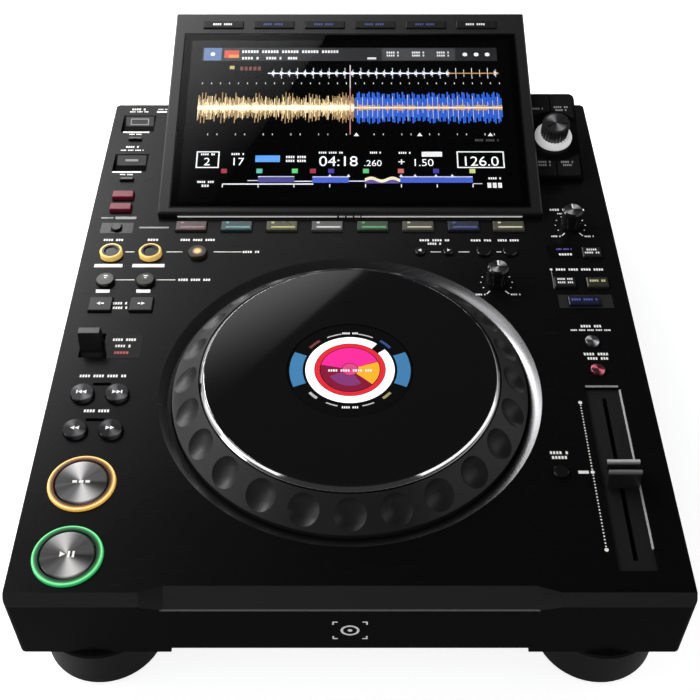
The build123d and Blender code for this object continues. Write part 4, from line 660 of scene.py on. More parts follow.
# Beat loop keys: two moulded grey-green gloss caps in line with the loop keys, with a lamp and
# a flange under each and two short printed bars on top.
BEAT_LOOPS = [(x, 221.8) for x in (LOOP_IN[0], LOOP_OUT[0])]
dress("beat_loop_keys", lit_top("olive_cap", BEAT_LOOPS, (0.05, 0.05, 0.032), (0.005, 0.005, 0.004), 0.2))
marks = []
for x, y in BEAT_LOOPS:
    marks += [(bar, x, y + 1.0, 2.4, 0.8), (bar, x, y - 0.6, 1.2, 0.8)]
printed("beat_loop_marks", white_ink_painted_glow, marks, "beat_loop_keys", raised("beat_loop_keys"))

# Time mode, stop, call and memory keys: small gloss black moulded caps, each with a flange under
# the deck and a plunger over its switch. A gloss black frame is printed round the time mode key.
TUCK = 0.6  # mm that a frame reaches in under its key
for name in ("time_mode_key", "stick_stop_keys", "call_keys", "memory_keys"):
    dress(name, gloss_black)


def surround(name, key, x0, x1, y0, y1, material):
    """A thin flush frame round a key's opening."""
    low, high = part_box(key)
    left, right = low[0] / MM + TUCK, high[0] / MM - TUCK
    front, back = low[1] / MM - FRONT_Y + TUCK, high[1] / MM - FRONT_Y - TUCK
    sides = ((x0, left, y0, y1), (right, x1, y0, y1), (left, right, y0, front), (left, right, back, y1))
    printed(name, material,
            [(bar, (a + b) / 2, (c + d) / 2, b - a, d - c) for a, b, c, d in sides if b > a and d > c])


surround("time_mode_surround", "time_mode_key", -156.5, -136.3, 264.6, 274.6,
         moulded("recess_black", (0.003, 0.003, 0.003), 0.22, depth=0.004, specular=0.3))
printed("call_arrows", white_ink_painted_glow,
        [(arrow, x, 247.0, 2.2, toward(side)) for x, side in ((43.1, -1), (60.4, 1))],
        "call_keys", raised("call_keys"))

# Slip and quantize keys: two small caps behind the time mode key, moulded in
# red-tinted plastic with a flange under the deck.
red_key = moulded("red_key", (0.15, 0.012, 0.026), 0.24, depth=0.006, specular=0.25)
for name in ("slip_key", "quantize_key"):
    dress(name, red_key)

# Hot cue keys: eight wide caps in a row before the screen, moulded in smoked plastic with a
# flange under the deck. A coloured lamp under each shows through as a lit bar and a small mark.
PAD_COLOURS = ((0.20, 0.09, 0.10), (0.08, 0.22, 0.23), (0.30, 0.30, 0.12), (0.42, 0.42, 0.40),
               (0.08, 0.26, 0.10), (0.36, 0.34, 0.25), (0.045, 0.065, 0.19), (0.40, 0.39, 0.27))
for number, colour in enumerate(PAD_COLOURS, 1):
    key = f"hot_cue_{number}_key"
    smoked = [0.007 + 0.16 * part for part in colour]
    dress(key, moulded(f"pad_tint_{number}", smoked, 0.28, depth=0.006))
    printed(f"hot_cue_{number}_mark", ink(f"pad_light_{number}", colour, 0.7),
            [(bar, 0.8, -1.6, 15.0, 1.3), (bar, -5.8, 2.6, 1.8, 1.5)], key, top_of(key))

# Sync keys: a black, an olive and a blue moulded cap with printed blocks, each held by a flange
# under the deck. A satin black frame is printed on the cover round the blue one.
dress("beat_sync_key", key_plastic)
dress("master_key", moulded("olive_key", (0.026, 0.026, 0.016), 0.32, depth=0.006))
dress("key_sync_key", moulded("blue_key", (0.008, 0.010, 0.030), 0.32, depth=0.006, specular=0.35))
surround("key_sync_surround", "key_sync_key", 123.0, 155.0, 197.6, 208.8,
         moulded("surround_satin", (0.011, 0.011, 0.0115), 0.5, specular=0.3))
for name, material, marks in (
        ("beat_sync", white_ink_painted_glow, [(words, 124.0, 133.4, 220.9, 1.5), (words, 124.0, 133.4, 217.9, 1.5)]),
        ("master", ink("olive_light", (0.45, 0.44, 0.25), 0.4), [(words, 143.2, 152.8, 219.4, 1.8)]),
        ("key_sync", ink("blue_light", (0.06, 0.06, 0.26), 0.5), [(words, 130.2, 145.8, 203.2, 1.8)])):
    printed(name + "_mark", material, marks, name + "_key", raised(name + "_key"))

# Jog mode key and its window: a square satin black cap held by a flange under the deck, and a
# small gloss black window bonded to the deck beside it, with a lit line and a printed bar.
dress("jog_mode_key", key_plastic)
bm = thin_plate(121.2, 140.9, 241.2, 253.6, PLATE_THICKNESS, 1.2)
finish_piece(bm, "jog_mode_window", window_gloss)
printed("jog_mode_line", ink("violet_light", (0.10, 0.08, 0.40), 0.7),
        [(words, 127.0, 136.8, 249.4, 1.1)], plane=PLATE_FACE)
printed("jog_mode_bar", white_ink_painted_glow, [(words, 128.0, 136.4, 244.6, 1.9)], plane=PLATE_FACE)
printed("jog_mode_mark", white_ink_painted_glow,
        [(words, 145.2, 151.6, 247.4, 1.5), (words, 143.8, 153.0, 244.6, 1.5)],
        "jog_mode_key", raised("jog_mode_key"))

# Tempo keys: two small caps with spun tops whose bright fans are painted highlights, the nearer one red, and
# a gloss black cap for tempo reset. Each is held by a flange under the deck, with a plunger over its switch.
for key, name, colour in (("tempo_range_key", "spun_range", (0.17, 0.17, 0.175)),
                          ("master_tempo_key", "spun_master", (0.26, 0.055, 0.08))):
    dress(key, spun(name, middle_of(key), colour, roughness=0.18, wedge=2.4))
dress("tempo_reset_key", gloss_black)

# Knobs: vinyl speed and jog adjust are gloss black caps with a spun top and a printed pointer,
# pushed onto their shafts. Rings of ticks are printed on the cover round them.
KNOB_HEIGHT, CAP_SIZE, TICK_RADIUS, TICK_STEP = 13.0, 10.6, 9.4, 30.0
for name, x, y in (("vinyl_speed", 138.8, 272.2), ("jog_adjust", 87.8, 219.7)):
    knob = name + "_knob"
    crown = Matrix.Translation((x, y, KNOB_HEIGHT))
    dress(knob, gloss_black)
    bright = spun("spun_" + name, (x, y), colour=(0.11, 0.11, 0.113), roughness=0.14, wedge=0.9)
    printed(knob + "_cap", bright, [(dot, 0.0, 0.0, CAP_SIZE, 40)], knob, crown)
    printed(name + "_pointer", white_ink_painted_glow, [(bar, 0.0, 3.0, 0.9, 4.2)], knob, over(crown, 0.04))
    marks = []
    for step in range(-4, 5):
        angle = math.radians(90.0 - TICK_STEP * step)
        marks.append((dot, x + TICK_RADIUS * math.cos(angle), y + TICK_RADIUS * math.sin(angle), 0.9, 8))
    for side in (-1, 1):
        marks.append((bar, x + side * 5.6, y - 8.8, 3.2, 0.7, -side * 52.0))
        marks.append((words, *sorted((x + side * 7.4, x + side * 13.4)), y - 10.6, 1.3))
    printed(name + "_ticks", white_ink_painted_glow, marks)

# Tempo fader: a slide unit with a slotted satin black face plate, held by a flange under the deck,
# and a moulded knob with two ridges on its stem, whose tops are painted pale as a highlight, most on the rear
# one.
# A pale strip along the plate's edge is a painted highlight of its bevel, and a dotted scale is printed
# beside it.
dress("fader_unit", moulded("fader_plate", (0.0115, 0.0115, 0.012), 0.36, depth=0.006, specular=0.35))
FADER_Y, RIDGE_FOOT, RIDGE_TOP = 71.5, 10.2, 12.0
fader_cap = moulded("fader_cap", (0.014, 0.014, 0.015), 0.24, depth=0.006)
tree, skin, shader = opened(fader_cap)
point = axes(tree)
# the ridge tops are painted pale as a highlight, and more so toward the rear
ridge = remap(tree, point["Z"], spot(0, 0, RIDGE_FOOT).z, spot(0, 0, RIDGE_TOP).z)
rear = remap(tree, point["Y"], spot(0, FADER_Y - 1.0).y, spot(0, FADER_Y + 1.0).y, 0.3, 1.0)
ridge_painted_highlight = calc(tree, "MULTIPLY", ridge, rear)
feed(tree, shader, Base_Color=blend(tree, ridge_painted_highlight, skin["Colour"], (0.55, 0.55, 0.555)))
dress("tempo_fader_knob", fader_cap)
# a pale strip on the plate's right edge: a painted highlight of the bevel
EDGE_STRIP, EDGE_STRIP_SIZE = Vector((147.95, 81.8, -0.6)), (0.8, 104.0, 1.15)
bm = bmesh.new()
bmesh.ops.create_cube(bm, size=1.0, matrix=Matrix.Translation(EDGE_STRIP) @ Matrix.Diagonal((*EDGE_STRIP_SIZE, 1.0)))
inner_edge = [e for e in bm.edges if all(v.co.x < EDGE_STRIP.x and v.co.z > EDGE_STRIP.z for v in e.verts)]
bmesh.ops.bevel(bm, geom=inner_edge, offset=0.7, affect="EDGES", segments=2, profile=0.5, material=-1)
finish_piece(bm, "fader_edge_painted_highlight", moulded("pale_strip_painted_highlight", (0.42, 0.42, 0.43), 0.42, depth=0.004))
SCALE_X, SCALE_Y, SCALE_END, SCALE_STEPS = 125.0, 76.6, 47.6, 24
marks = []
for step in range(-SCALE_STEPS, SCALE_STEPS + 1):
    size, segments = (0.95, 6) if step % SCALE_STEPS else (2.2, 10)
    marks.append((dot, SCALE_X, SCALE_Y + SCALE_END * step / SCALE_STEPS, size, segments))
printed("tempo_scale", white_ink_painted_glow, marks)

# Memory stick sockets: a paler sheet on the ramp that leads down to each slot is painted light, and a gloss
# black sheet at its foot is painted shade for the slot, with the mark of the socket printed on it in grey.
RAMP_BACK, RAMP_FRONT, RAMP_DROP = 19.0, 5.6, 4.5
slope = Matrix.Rotation(math.atan2(RAMP_DROP, RAMP_BACK - RAMP_FRONT), 4, "X")
for number, front, mark in ((1, 371.4, (outline, -6.0, 6.0, -7.9, -3.2, 0.7)),
                            (2, 327.1, (bar, 0.0, -5.2, 8.5, 1.6))):
    scoop = Matrix.Translation((-146.5, front + RAMP_BACK, 0.0)) @ slope
    ramp_light_paint = moulded(f"ramp_painted_light_{number}", (0.022, 0.022, 0.023), 0.5, specular=0.35)
    # a paler sheet over the ramp is painted light, and the black sheet at its foot is painted shade
    bm = thin_plate(-9.6, 9.6, -12.6, -1.2, 0.15, 0.6, scoop)
    finish_piece(bm, f"stick_ramp_painted_light_{number}", ramp_light_paint)
    bm = thin_plate(-10.2, 10.2, -13.6, -9.2, 0.22, 0.3, scoop)
    finish_piece(bm, f"stick_slot_painted_shade_{number}", window_gloss)
    printed(f"stick_mark_{number}", grey_ink_painted_glow, [mark], plane=over(scoop, 0.16))

# Selector: a hollow black wedge moulded to stand on the deck beside the screen, with four moulded
# keys. The rotary knob turns on a steel shaft: a black grip with a spun cap, whose bright fans are painted
# highlights, over a pale skirt that also glows as a painted reflection.
TILT = turn_about("X", 14.2)
PLINTH = Matrix.Translation((0.0, 316.5, 2.9)) @ TILT
dress("selector_plinth", moulded("plinth_plastic", (0.003, 0.003, 0.0032), 0.24, depth=0.006, specular=0.15))
dress("selector_keys", moulded("plinth_keys", (0.010, 0.010, 0.0105), 0.26, depth=0.006, specular=0.35))
dress("selector_shaft", moulded("bright_steel", (0.5, 0.5, 0.5), 0.3, metallic=1.0, depth=0.003))
SKIRT_HEIGHT = 3.25
KNOB_FOOT = Vector((135.9, 126.34, 87.21)) * MM
KNOB_AXIS = (0.0, -0.2453, 0.9694)
material = moulded("selector_grip_skirt_painted_glow", (0.02, 0.02, 0.021), 0.20, depth=0.002)
tree, skin, shader = opened(material)
rise = vectors(tree, "DOT_PRODUCT", vectors(tree, "SUBTRACT", here(tree), KNOB_FOOT), KNOB_AXIS)
skirt = calc(tree, "LESS_THAN", rise, SKIRT_HEIGHT * MM)
# the skirt is pale in its own colour, and its glow is a painted reflection
feed(tree, shader, Base_Color=blend(tree, skirt, skin["Colour"], (0.95, 0.95, 0.96)),
     Roughness=remap(tree, skirt, 0.0, 1.0, skin["Roughness"], 0.30),
     Emission_Color=blend(tree, skirt, (0.0, 0.0, 0.0), (0.5, 0.5, 0.5)), Emission_Strength=0.5)
dress("selector_knob", material)
KNOB_TOP = PLINTH @ Matrix.Translation((135.9, 34.7, 14.0))
material = spun("spun_selector", KNOB_TOP.translation[:2], colour=(0.075, 0.075, 0.078), roughness=0.12,
                wedge=2.1)
printed("selector_cap", material, [(dot, 0.0, 0.0, 14.4, 48)], "selector_knob", KNOB_TOP)
KEY_WORDS = ((123.9, 132.3, 12.6), (123.9, 132.3, 10.0), (138.8, 147.3, 12.6), (140.0, 146.0, 10.0),
             (123.6, 131.0, 58.2), (138.0, 147.8, 59.6), (139.0, 146.8, 57.0))
printed("selector_key_marks", grey_ink_painted_glow, [(words, *row, 1.6) for row in KEY_WORDS], "selector_keys",
        over(PLINTH, 0.7))

# Jog dial: one satin black moulding with finger dimples round its cone, which turns on the hollow
# column of a moulded base that is screwed under the well.
dress("jog_dial", moulded("dial_satin", (0.018, 0.018, 0.0185), 0.38, grain=900.0, depth=0.012, spread=0.20,
                          rub=0.9, specular=0.25))
dress("jog_base", moulded("base_plastic", (0.006, 0.006, 0.006), 0.5))

# Top plate: a gloss black touch plate that seats on the dial's web by a rib and turns with it,
# edged by a bevelled ring of polished metal.
dress("jog_top_plate", moulded("plate_gloss", (0.005, 0.005, 0.0055), 0.045, depth=0.001, spread=0.03,
                               specular=0.66))
PLATE_RADIUS, PLATE_BEVEL, PLATE_TOP = 81.3, 2.2, 14.5
FIT = 0.02  # mm that the ring stands over the plate
face, foot = PLATE_TOP + FIT, PLATE_TOP - PLATE_BEVEL + FIT
bm = turned([(PLATE_RADIUS - PLATE_BEVEL - 0.25, face), (PLATE_RADIUS - PLATE_BEVEL + 0.05, face),
             (PLATE_RADIUS + 0.06, foot), (PLATE_RADIUS + 0.06, foot - 0.52)],
            Matrix.Translation((*JOG, 0.0)), round_at=(1, 2), radius=0.8)
bevel_metal = moulded("bevel_metal", (0.86, 0.86, 0.87), 0.10, metallic=1.0, depth=0.0005, spread=0.04,
                      rub=0.3)
finish_piece(bm, "plate_bevel_ring", bevel_metal, "jog_top_plate")

# Centre display: a round screen under a gloss black window, fixed on the base's hollow column, so
# that it stays still. Its rings and segments are lit, round a plain picture of coloured sectors.
dress("jog_display", moulded("display_gloss", (0.004, 0.004, 0.0045), 0.045, depth=0.001, spread=0.03))
DISPLAY_TOP = Matrix.Translation((*JOG, 14.1))
STEPS_ROUND = 96


def ring_mark(bm, inner, outer, start=0.0, end=360.0, plane=DECK):
    """A flat printed ring, or the part of it between two angles in degrees."""
    radial = [bm.verts.new((r, 0.0, LAYER)) for r in (inner, outer)]
    edge = bm.edges.new(radial)
    bmesh.ops.transform(bm, matrix=turn_about("Z", start), verts=radial)
    others = set(bm.faces)
    bmesh.ops.spin(bm, geom=radial + [edge], axis=(0, 0, 1), cent=(0, 0, 0), angle=math.radians(end - start),
                   steps=max(4, round(STEPS_ROUND * (end - start) / 360.0)), use_merge=end - start >= 360.0)
    made = [face for face in bm.faces if face not in others]
    bmesh.ops.transform(bm, matrix=plane, verts=list({v for face in made for v in face.verts}))
    bmesh.ops.recalc_face_normals(bm, faces=made)


for name, colour, glow, marks in (
        ("white", (0.80, 0.80, 0.80), 0.85, ((19.4, 24.2, 52.0, 398.0),)),
        ("red", (0.50, 0.02, 0.03), 0.8, ((16.4, 19.2),)),
        ("blue", (0.045, 0.16, 0.32), 0.62, ((25.6, 32.8, -23.0, 23.0), (25.6, 32.8, 157.0, 203.0))),
        ("arc", (0.42, 0.42, 0.40), 0.5, ((26.6, 27.4, 62.0, 80.0), (26.6, 27.4, 100.0, 118.0),
                                          (26.6, 27.4, 242.0, 256.0), (26.6, 27.4, 284.0, 298.0))),
        ("dim_blue", (0.03, 0.07, 0.20), 0.5, ((26.4, 28.0, 36.0, 52.0),)),
        ("dim_red", (0.16, 0.04, 0.04), 0.5, ((26.4, 28.0, 128.0, 144.0),)),
        ("dim_gold", (0.30, 0.26, 0.12), 0.5, ((26.4, 28.0, 310.0, 322.0),)),
        ("dim_white", (0.40, 0.40, 0.40), 0.5, ((26.4, 28.0, 218.0, 230.0),))):
    printed("display_" + name, ink("display_" + name, colour, glow, 0.06),
            [(ring_mark, *mark) for mark in marks], plane=DISPLAY_TOP)
for name, colour, lift, sector in (
        ("crimson", (0.16, 0.008, 0.03), 0.0, (0.4, 16.0)),
        ("magenta", (0.62, 0.02, 0.22), 0.05, (4.6, 16.0, 22.0, 168.0)),
        ("violet", (0.16, 0.03, 0.12), 0.05, (4.6, 12.0, 205.0, 300.0)),
        ("amber", (0.85, 0.30, 0.02), 0.05, (4.6, 16.0, 318.0, 380.0)),
        ("rose", (0.50, 0.05, 0.16), 0.05, (0.4, 4.2))):
    printed("display_picture_" + name, ink("picture_" + name, colour, 0.8, 0.06),
            [(ring_mark, *sector)], plane=over(DISPLAY_TOP, lift))


def middle_words(bm, *measures, plane=DECK):
    """A row of blocks on a layer over the picture."""
    words(bm, *measures, plane=over(plane, 0.12))


printed("display_blocks", ink("display_pale", (0.70, 0.70, 0.70), 0.6, 0.06),
        [(middle_words, -12.0, 12.0, -1.0, 1.6), (words, -4.5, 4.5, 27.2, 1.4),
         (words, -4.5, 4.5, -27.2, 1.4)], plane=DISPLAY_TOP)

# Screen housing: a satin black moulded frame, tilted over the rear half, and the rear shell that is
# let into it and stands on the deck. Six low moulded keys with printed legends line its far edge.
SCREEN = Matrix.Translation((0.0, 279.6, 4.0)) @ TILT
housing_plastic = moulded("housing_plastic", (0.012, 0.012, 0.0125), 0.34, depth=0.010)
for name in ("screen_housing", "screen_back_cover"):
    dress(name, housing_plastic)
dress("screen_keys", key_plastic)
LEGEND_ROW, KEY_PITCH, KEY_RISE, LEGEND_HALF = 161.4, 35.3, 0.9, 7.5
dim_blue_ink = ink("dim_blue_ink", (0.04, 0.05, 0.16), 0.6)
for name, material, keys in (("bright", white_ink_painted_glow, (0, 5)), ("dim", dim_blue_ink, (1, 2, 3, 4))):
    middles = [KEY_PITCH * (key - 2.5) for key in keys]
    printed("screen_key_marks_" + name, material,
            [(words, x - LEGEND_HALF, x + LEGEND_HALF, LEGEND_ROW, 1.8) for x in middles], "screen_keys",
            over(SCREEN, KEY_RISE))
# the line under the screen glows: painted light that lifts it out of the shade under the housing
printed("hot_cue_line", ink("line_ink_painted_glow", (0.62, 0.62, 0.60), 0.5),
        [(span, -109.3, -8.2, 0.95, 1.1), (span, 7.4, 109.2, 0.95, 1.1), (words, -7.0, 6.6, 0.95, 1.2)],
        plane=Matrix.Translation((0.0, 279.6, 0.0)) @ turn_about("X", 90.0))

# Screen: a clear cover glass bonded into the housing over a black panel that carries the picture.
# A black border is printed under the glass, and a rubber gasket runs round it.
GLASS_THICKNESS = 1.6
SIGHT = 0.8  # mm that the glass makes the picture seem nearer the lower edge
dress("lcd_panel", moulded("panel_dark", (0.001, 0.001, 0.0012), 0.25, specular=0.0))
material, tree = empty_material("cover_glass")
smear = remap(tree, noise(tree, 14.0, 6.0, 0.7), 0.4, 0.7, 0.01, 0.02)
surface(tree, Base_Color=(0.96, 0.97, 0.98), Roughness=smear, Transmission_Weight=1.0, IOR=1.33)
dress("screen_glass", material)
PICTURE = SCREEN @ Matrix.Translation((0.0, SIGHT, -GLASS_THICKNESS - 0.12))
mask_black = moulded("mask_black", (0.0004, 0.0004, 0.0004), 0.5, rub=0.0, specular=0.0)
printed("screen_black_mask", mask_black, [(span, -114.2, 114.2, 78.75 - SIGHT, 148.3)],
        plane=over(PICTURE, -0.05))
border_black = moulded("border_black", (0.0004, 0.0004, 0.0004), 0.5, rub=0.0, specular=0.0)
printed("screen_black_border", border_black, [(outline, -112.0, 112.0, 6.8, 150.7, 5.2)],
        plane=over(SCREEN, -GLASS_THICKNESS - 0.03))
printed("screen_gasket", moulded("gasket_rubber", (0.002, 0.002, 0.002), 0.6, specular=0.1),
        [(outline, -114.5, 114.5, 4.3, 153.2, 1.0)], plane=over(SCREEN, 0.02))


def screen_layer(name, colour, marks, glow=0.9, lift=0.0):
    """One colour of the picture; lift puts it over the layers below, in mm."""
    printed("screen_" + name, ink("screen_" + name, colour, glow, 0.4), marks,
            plane=over(PICTURE, lift), film=0.004)


# the wave of the track: what has played at the left, what is to come at the right
WAVE_MIDDLE, WAVE_LEFT, WAVE_RIGHT, WAVE_SPLIT = 86.6, -102.0, 102.0, 3.4
PLAYED, COMING = (WAVE_LEFT, WAVE_SPLIT), (WAVE_SPLIT, WAVE_RIGHT)
dice = random.Random(7)


def columns(bm, x0, x1, pitch, width, height, spread, beat=1, accent=1.0, plane=DECK):
    """Upright bars about the middle of the wave, of chance height, with an accent on each beat."""
    for n in range(int((x1 - x0) / pitch)):
        tall = height * (1.0 - spread * dice.random()) * (1.0 if n % beat else accent)
        bar(bm, x0 + pitch * (n + 0.5), WAVE_MIDDLE, width, 2 * tall, plane=plane)


for name, colour, measures, glow, lift in (
        ("wave_tan", (0.46, 0.30, 0.13), (*PLAYED, 0.75, 0.5, 10.6, 0.62, 3, 1.3), 0.9, 0.0),
        ("wave_cream", (0.90, 0.76, 0.46), (*PLAYED, 0.75, 0.52, 5.4, 0.66, 4, 1.9), 0.9, 0.02),
        ("wave_core", (1.0, 0.90, 0.66), (*PLAYED, 0.75, 0.75, 2.3, 0.6), 0.95, 0.04),
        ("wave_blue", (0.02, 0.11, 0.58), (*COMING, 1.12, 0.92, 13.8, 0.22, 3, 0.7), 0.9, 0.0),
        ("wave_spikes", (0.50, 0.47, 0.50), (*COMING, 3.36, 0.5, 11.0, 0.6), 0.9, 0.02),
        ("wave_gold", (0.62, 0.34, 0.14), (*COMING, 1.12, 0.9, 2.6, 0.7), 0.9, 0.04)):
    screen_layer(name, colour, [(columns, *measures)], glow, lift)
screen_layer("wave_thread", (1.0, 0.86, 0.6), [(span, *COMING, WAVE_MIDDLE, 1.0)], 0.8, 0.06)

# the whole track in small, the playhead, and the heading over them
OVERVIEW_Y, OVERVIEW_TURN = 117.1, 67.0
marks = [(span, -56.0, OVERVIEW_TURN, OVERVIEW_Y, 1.0)]
for n in range(29):
    x = -52.0 + 5.4 * n
    if x < OVERVIEW_TURN or x > 95.0:
        marks.append((arrow, x, OVERVIEW_Y, 3.4))
    marks.append((bar, x, OVERVIEW_Y, 0.4, 9.5 if n % 2 else 6.5))
screen_layer("overview", (0.72, 0.74, 0.84), marks)
for name, colour, mark, glow, lift in (
        ("overview_end", (0.60, 0.30, 0.10), (span, OVERVIEW_TURN, 101.4, OVERVIEW_Y, 0.8), 0.9, 0.02),
        ("playhead", (0.62, 0.56, 0.56), (bar, 0.1, 114.0, 0.6, 21.0), 0.9, 0.08),
        ("playhead_red", (0.42, 0.16, 0.17), (bar, 0.1, 83.5, 0.7, 40.0), 0.9, 0.08),
        ("warm_words", (0.16, 0.045, 0.03), (words, -75.5, -60.5, 121.4, 3.4), 0.7, 0.0),
        ("yellow_mark", (0.52, 0.40, 0.14), (bar, -80.6, 122.3, 3.2, 3.0), 0.7, 0.0),
        ("dim_words", (0.07, 0.07, 0.07), (words, 82.0, 98.0, 58.8, 1.8), 0.7, 0.0),
        ("header", (0.016, 0.016, 0.018), (span, -101.6, 101.1, 134.4, 12.0), 0.6, 0.0),
        ("menu", (0.060, 0.060, 0.064), (span, 21.9, 72.4, 134.4, 11.0), 0.6, 0.02),
        ("thumb_blue", (0.10, 0.17, 0.34), (span, -100.6, -88.5, 134.5, 11.4), 0.7, 0.02),
        ("thumb_red", (0.55, 0.07, 0.04), (span, -86.5, -76.4, 134.5, 7.0), 0.7, 0.02),
        ("thumb_orange", (0.75, 0.28, 0.06), (span, -83.5, -76.4, 132.6, 2.6), 0.7, 0.04)):
    screen_layer(name, colour, [mark], glow, lift)

# everything white: the heading, the frames and labels of the lower rows, the ticks and the ruler
marks = [(words, -74.7, -5.8, 136.8, 2.4, 6), (words, -74.5, -62.6, 130.8, 2.3),
         (words, -57.8, -46.9, 130.8, 2.3), (words, -42.9, -36.1, 130.8, 2.3),
         (span, 12.0, 18.0, 130.6, 1.8), (dot, -94.5, 134.5, 3.2),
         (outline, -99.7, -85.5, 36.2, 49.0, 0.9), (outline, 70.0, 100.0, 36.2, 49.0, 0.9),
         (words, -97.5, -88.0, 47.0, 1.6), (words, -77.5, -69.0, 47.2, 1.7), (words, -41.9, -28.6, 44.8, 1.8),
         (words, -41.9, -28.6, 41.6, 1.8), (words, -20.6, -4.6, 48.4, 1.6), (words, 12.9, 20.3, 48.4, 1.6),
         (words, 31.6, 39.7, 48.2, 1.6), (span, 46.8, 60.1, 47.1, 4.0), (bar, 33.5, 40.8, 4.0, 0.9),
         (bar, 33.5, 40.8, 0.9, 4.0), (words, -98.5, -87.5, 24.5, 1.6), (words, -95.5, -90.5, 21.4, 1.8),
         (words, 89.0, 97.5, 27.4, 1.6), (words, 87.8, 98.1, 21.8, 4.0), (span, -82.2, -23.6, 22.8, 0.9)]
marks += [(words, x - 4.4, x + 4.4, y, 1.7) for x in (29.4, 46.9, 64.0) for y in (136.0, 133.2)]
marks += [(dot, x, 134.2, 3.4) for x in (79.1, 86.9, 94.5)]
marks += [(arrow, x, 63.2, 3.0, 90.0) for x in (4.2, 46.0, 92.6)]
marks += [(bar, -82.0 + 23.0 * n, 21.4, 0.6, 2.6) for n in range(8)]
for n in range(34):
    marks += [(bar, -100.0 + 6.1 * n, y, 0.5, 1.5) for y in ((63.7, 108.0) if n % 3 else (108.0,))]
screen_layer("white", (0.78, 0.78, 0.78), marks, 0.9, 0.05)

# plain numbers, each left-aligned at x with its foot at y
FONT_SIZE = 1.38  # size of the font over the height of its figures
for name, text, x, y, height in (
        ("screen_deck_number", "2", -95.2, 38.0, 6.4), ("screen_track_number", "17", -77.6, 38.0, 6.4),
        ("screen_time", "04:18", -20.4, 37.4, 8.4), ("screen_time_parts", ".260", 8.9, 37.4, 5.0),
        ("screen_range", "1.50", 40.3, 37.4, 6.0), ("screen_speed", "126.0", 72.5, 37.6, 8.0)):
    curve = bpy.data.curves.new(name, "FONT")
    curve.body = text
    curve.size = height * FONT_SIZE
    holder = bpy.data.objects.new(name, curve)
    mesh = bpy.data.meshes.new_from_object(holder)
    bm = bmesh.new()
    bm.from_mesh(mesh)
    bpy.data.objects.remove(holder)
    bpy.data.meshes.remove(mesh)
    bmesh.ops.transform(bm, matrix=PICTURE @ Matrix.Translation((x, y, LAYER + 0.05)), verts=bm.verts)
    finish_piece(bm, name, ink(name, (0.85, 0.85, 0.85), 0.95, 0.4), smooth=0.0)

# the phrases of the track along the bottom, and the flags over them
screen_layer("pill", (0.09, 0.30, 0.72), [(span, -61.6, -45.6, 43.4, 5.4)])
screen_layer("phrase_violet", (0.06, 0.05, 0.22), [(span, -59.3, -35.9, 26.4, 4.6)])
screen_layer("phrase_blue", (0.05, 0.10, 0.50),
             [(span, -24.2, -0.8, 26.2, 4.6), (span, 32.4, 79.1, 26.2, 4.6)])
screen_layer("phrase_purple", (0.10, 0.07, 0.32), [(span, 9.6, 31.7, 24.9, 3.0)])
marks = [(bar, 10.2 + 1.2 * n, 26.4 + 1.2 * math.sin(n * 0.55), 1.1, 2.4) for n in range(19)]
screen_layer("phrase_gold", (0.85, 0.76, 0.48), marks, lift=0.02)
marks = [(span, -59.3, -35.9, 28.8, 0.6), (span, -24.2, -0.8, 28.6, 0.7), (span, 32.4, 79.1, 28.6, 0.7),
         (span, -66.0, -59.3, 25.6, 0.6), (span, -35.9, -24.2, 25.0, 0.8), (span, -0.8, 9.6, 25.2, 0.8),
         (span, 79.1, 85.1, 23.1, 0.6)]
marks += [(arrow, x, 29.4, 2.2, 90.0) for x in (-13.0, -1.0, 33.0, 42.0, 55.5, 66.0)]
screen_layer("phrase_pale", (0.62, 0.62, 0.72), marks, lift=0.03)
for name, colour, places in (
        ("red", (0.30, 0.03, 0.05), (-81.5, -24.0)), ("teal", (0.10, 0.42, 0.34), (-58.6,)),
        ("green", (0.10, 0.48, 0.16), (-35.7, 10.3)), ("navy", (0.05, 0.04, 0.30), (-12.2, 55.7)),
        ("coral", (0.50, 0.14, 0.12), (32.9,)), ("lime", (0.52, 0.58, 0.20), (79.2,))):
    screen_layer("flag_" + name, colour, [(bar, x, 33.4, 3.8, 3.6) for x in places])

# Front mark: four corner brackets round a plain ring and a dot,
# printed in white in the middle of the cover's front face.
marks = []
for side in (-1, 1):
    for end in (-1, 1):
        marks += [(bar, side * 7.2, end * 7.7, 2.4, 0.9), (bar, side * 8.2, end * 6.6, 0.8, 2.6)]
marks += [(ring_mark, 3.4, 4.6), (dot, 0.0, 0.0, 2.4)]
FRONT = Matrix.Translation((0.0, 0.0, -25.9)) @ turn_about("X", 90.0)
printed("front_mark", white_ink_painted_glow, marks, plane=FRONT)

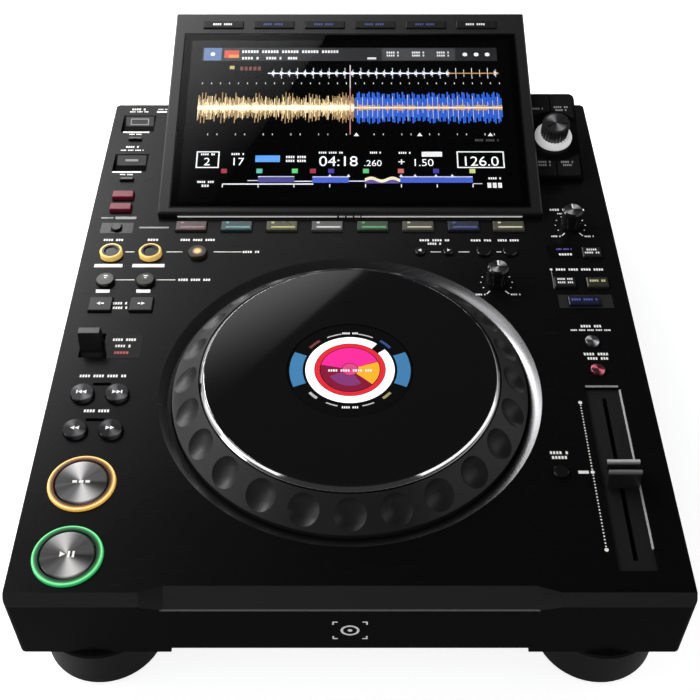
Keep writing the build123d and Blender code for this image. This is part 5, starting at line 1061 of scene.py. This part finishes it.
# Rear marks and jacks: white blocks printed on the panel over each connector, and on every jack
# a nickel-plated sleeve on the barrel's mouth and a coloured collar pressed on round its foot.
PANEL_Y, CONNECTOR_Z = 401.0, -24.0
SLEEVE_Y, COLLAR_Y = 410.33, PANEL_Y + 0.62
PANEL = Matrix.Translation((0.0, PANEL_Y, 0.0)) @ turn_about("Z", 180.0) @ turn_about("X", 90.0)
CONNECTORS = ((125.0, 14.0), (92.0, 9.0), (45.0, 10.0), (15.0, 12.0), (-40.0, 12.0), (-95.0, 8.0),
              (-113.0, 8.0))
printed("rear_marks", white_ink_painted_glow,
        [(words, -x - width / 2, -x + width / 2, -9.0, 1.6) for x, width in CONNECTORS]
        + [(span, 86.0, 122.0, -11.6, 0.5)], plane=PANEL)
for name, x, colour in (("digital", -40.0, (0.70, 0.42, 0.10)), ("right", -95.0, (0.55, 0.04, 0.04)),
                        ("left", -113.0, (0.75, 0.75, 0.73))):
    nickel = moulded(name + "_nickel", (0.72, 0.70, 0.66), 0.22, metallic=1.0, depth=0.001)
    insulator = moulded(name + "_insulator", colour, 0.4)
    for part, material, y, inner, outer, depth in (("sleeve", nickel, SLEEVE_Y, 3.2, 4.15, 0.25),
                                                   ("collar", insulator, COLLAR_Y, 4.4, 5.7, 0.2)):
        bm = turned([(inner, 0.0), (outer, 0.0), (outer, depth), (inner, depth)],
                    Matrix.Translation((x, y, CONNECTOR_Z)) @ turn_about("X", -90.0), steps=32, closed=True)
        finish_piece(bm, f"{name}_jack_{part}", material)

# Screws: black zinc-plated pan heads with a cross slot,
# driven through the rear panel and the chassis floor.
screw_steel = moulded("black_zinc", (0.06, 0.06, 0.062), 0.32, metallic=0.9, depth=0.004, spread=0.15)
HEAD_RADIUS, HEAD_RISE, SLOT = 2.6, 1.1, (1.9, 0.45)


def screws(name, places):
    """Pan heads with a cross sunk into each, standing on the planes they are placed on."""
    bm = bmesh.new()
    for place in places:
        head = bmesh.new()
        bmesh.ops.create_circle(head, cap_ends=True, segments=16, radius=HEAD_RADIUS)
        made = bmesh.ops.extrude_face_region(head, geom=head.faces[:])["geom"]
        verts = [v for v in made if isinstance(v, bmesh.types.BMVert)]
        bmesh.ops.translate(head, vec=(0, 0, HEAD_RISE), verts=verts)
        face = next(f for f in head.faces if all(v in verts for v in f.verts))
        for inset, rise in ((0.7, 0.25), (0.9, -0.15)):
            bmesh.ops.inset_region(head, faces=[face], thickness=inset, depth=0.0)
            bmesh.ops.translate(head, vec=(0, 0, rise), verts=face.verts)
        for turn in (0.0, 90.0):
            slot = Matrix.Translation((0, 0, HEAD_RISE + 0.13)) @ turn_about("Z", turn)
            bmesh.ops.create_grid(head, x_segments=1, y_segments=1, size=0.5,
                                  matrix=slot @ Matrix.Diagonal((*SLOT, 1.0, 1.0)))
        bmesh.ops.transform(head, matrix=place, verts=head.verts)
        mesh = bpy.data.meshes.new("screw")
        head.to_mesh(mesh)
        head.free()
        bm.from_mesh(mesh)
        bpy.data.meshes.remove(mesh)
    finish_piece(bm, name, screw_steel)


PANEL_SCREWS = ((-157.0, -8.0), (-157.0, -36.5), (157.0, -8.0), (157.0, -36.5), (-70.0, -8.0), (70.0, -8.0),
                (-20.0, -36.5), (106.0, -36.5))
screws("rear_screws", [PANEL @ Matrix.Translation((-x, z, 0.0)) for x, z in PANEL_SCREWS])
UNDERSIDE = Matrix.Translation((0.0, 0.0, -42.8)) @ turn_about("X", 180.0)
screws("floor_screws", [UNDERSIDE @ Matrix.Translation((x, -y, 0.0)) for x in (-120.0, 0.0, 120.0)
                        for y in (30.0, 200.0, 375.0)])
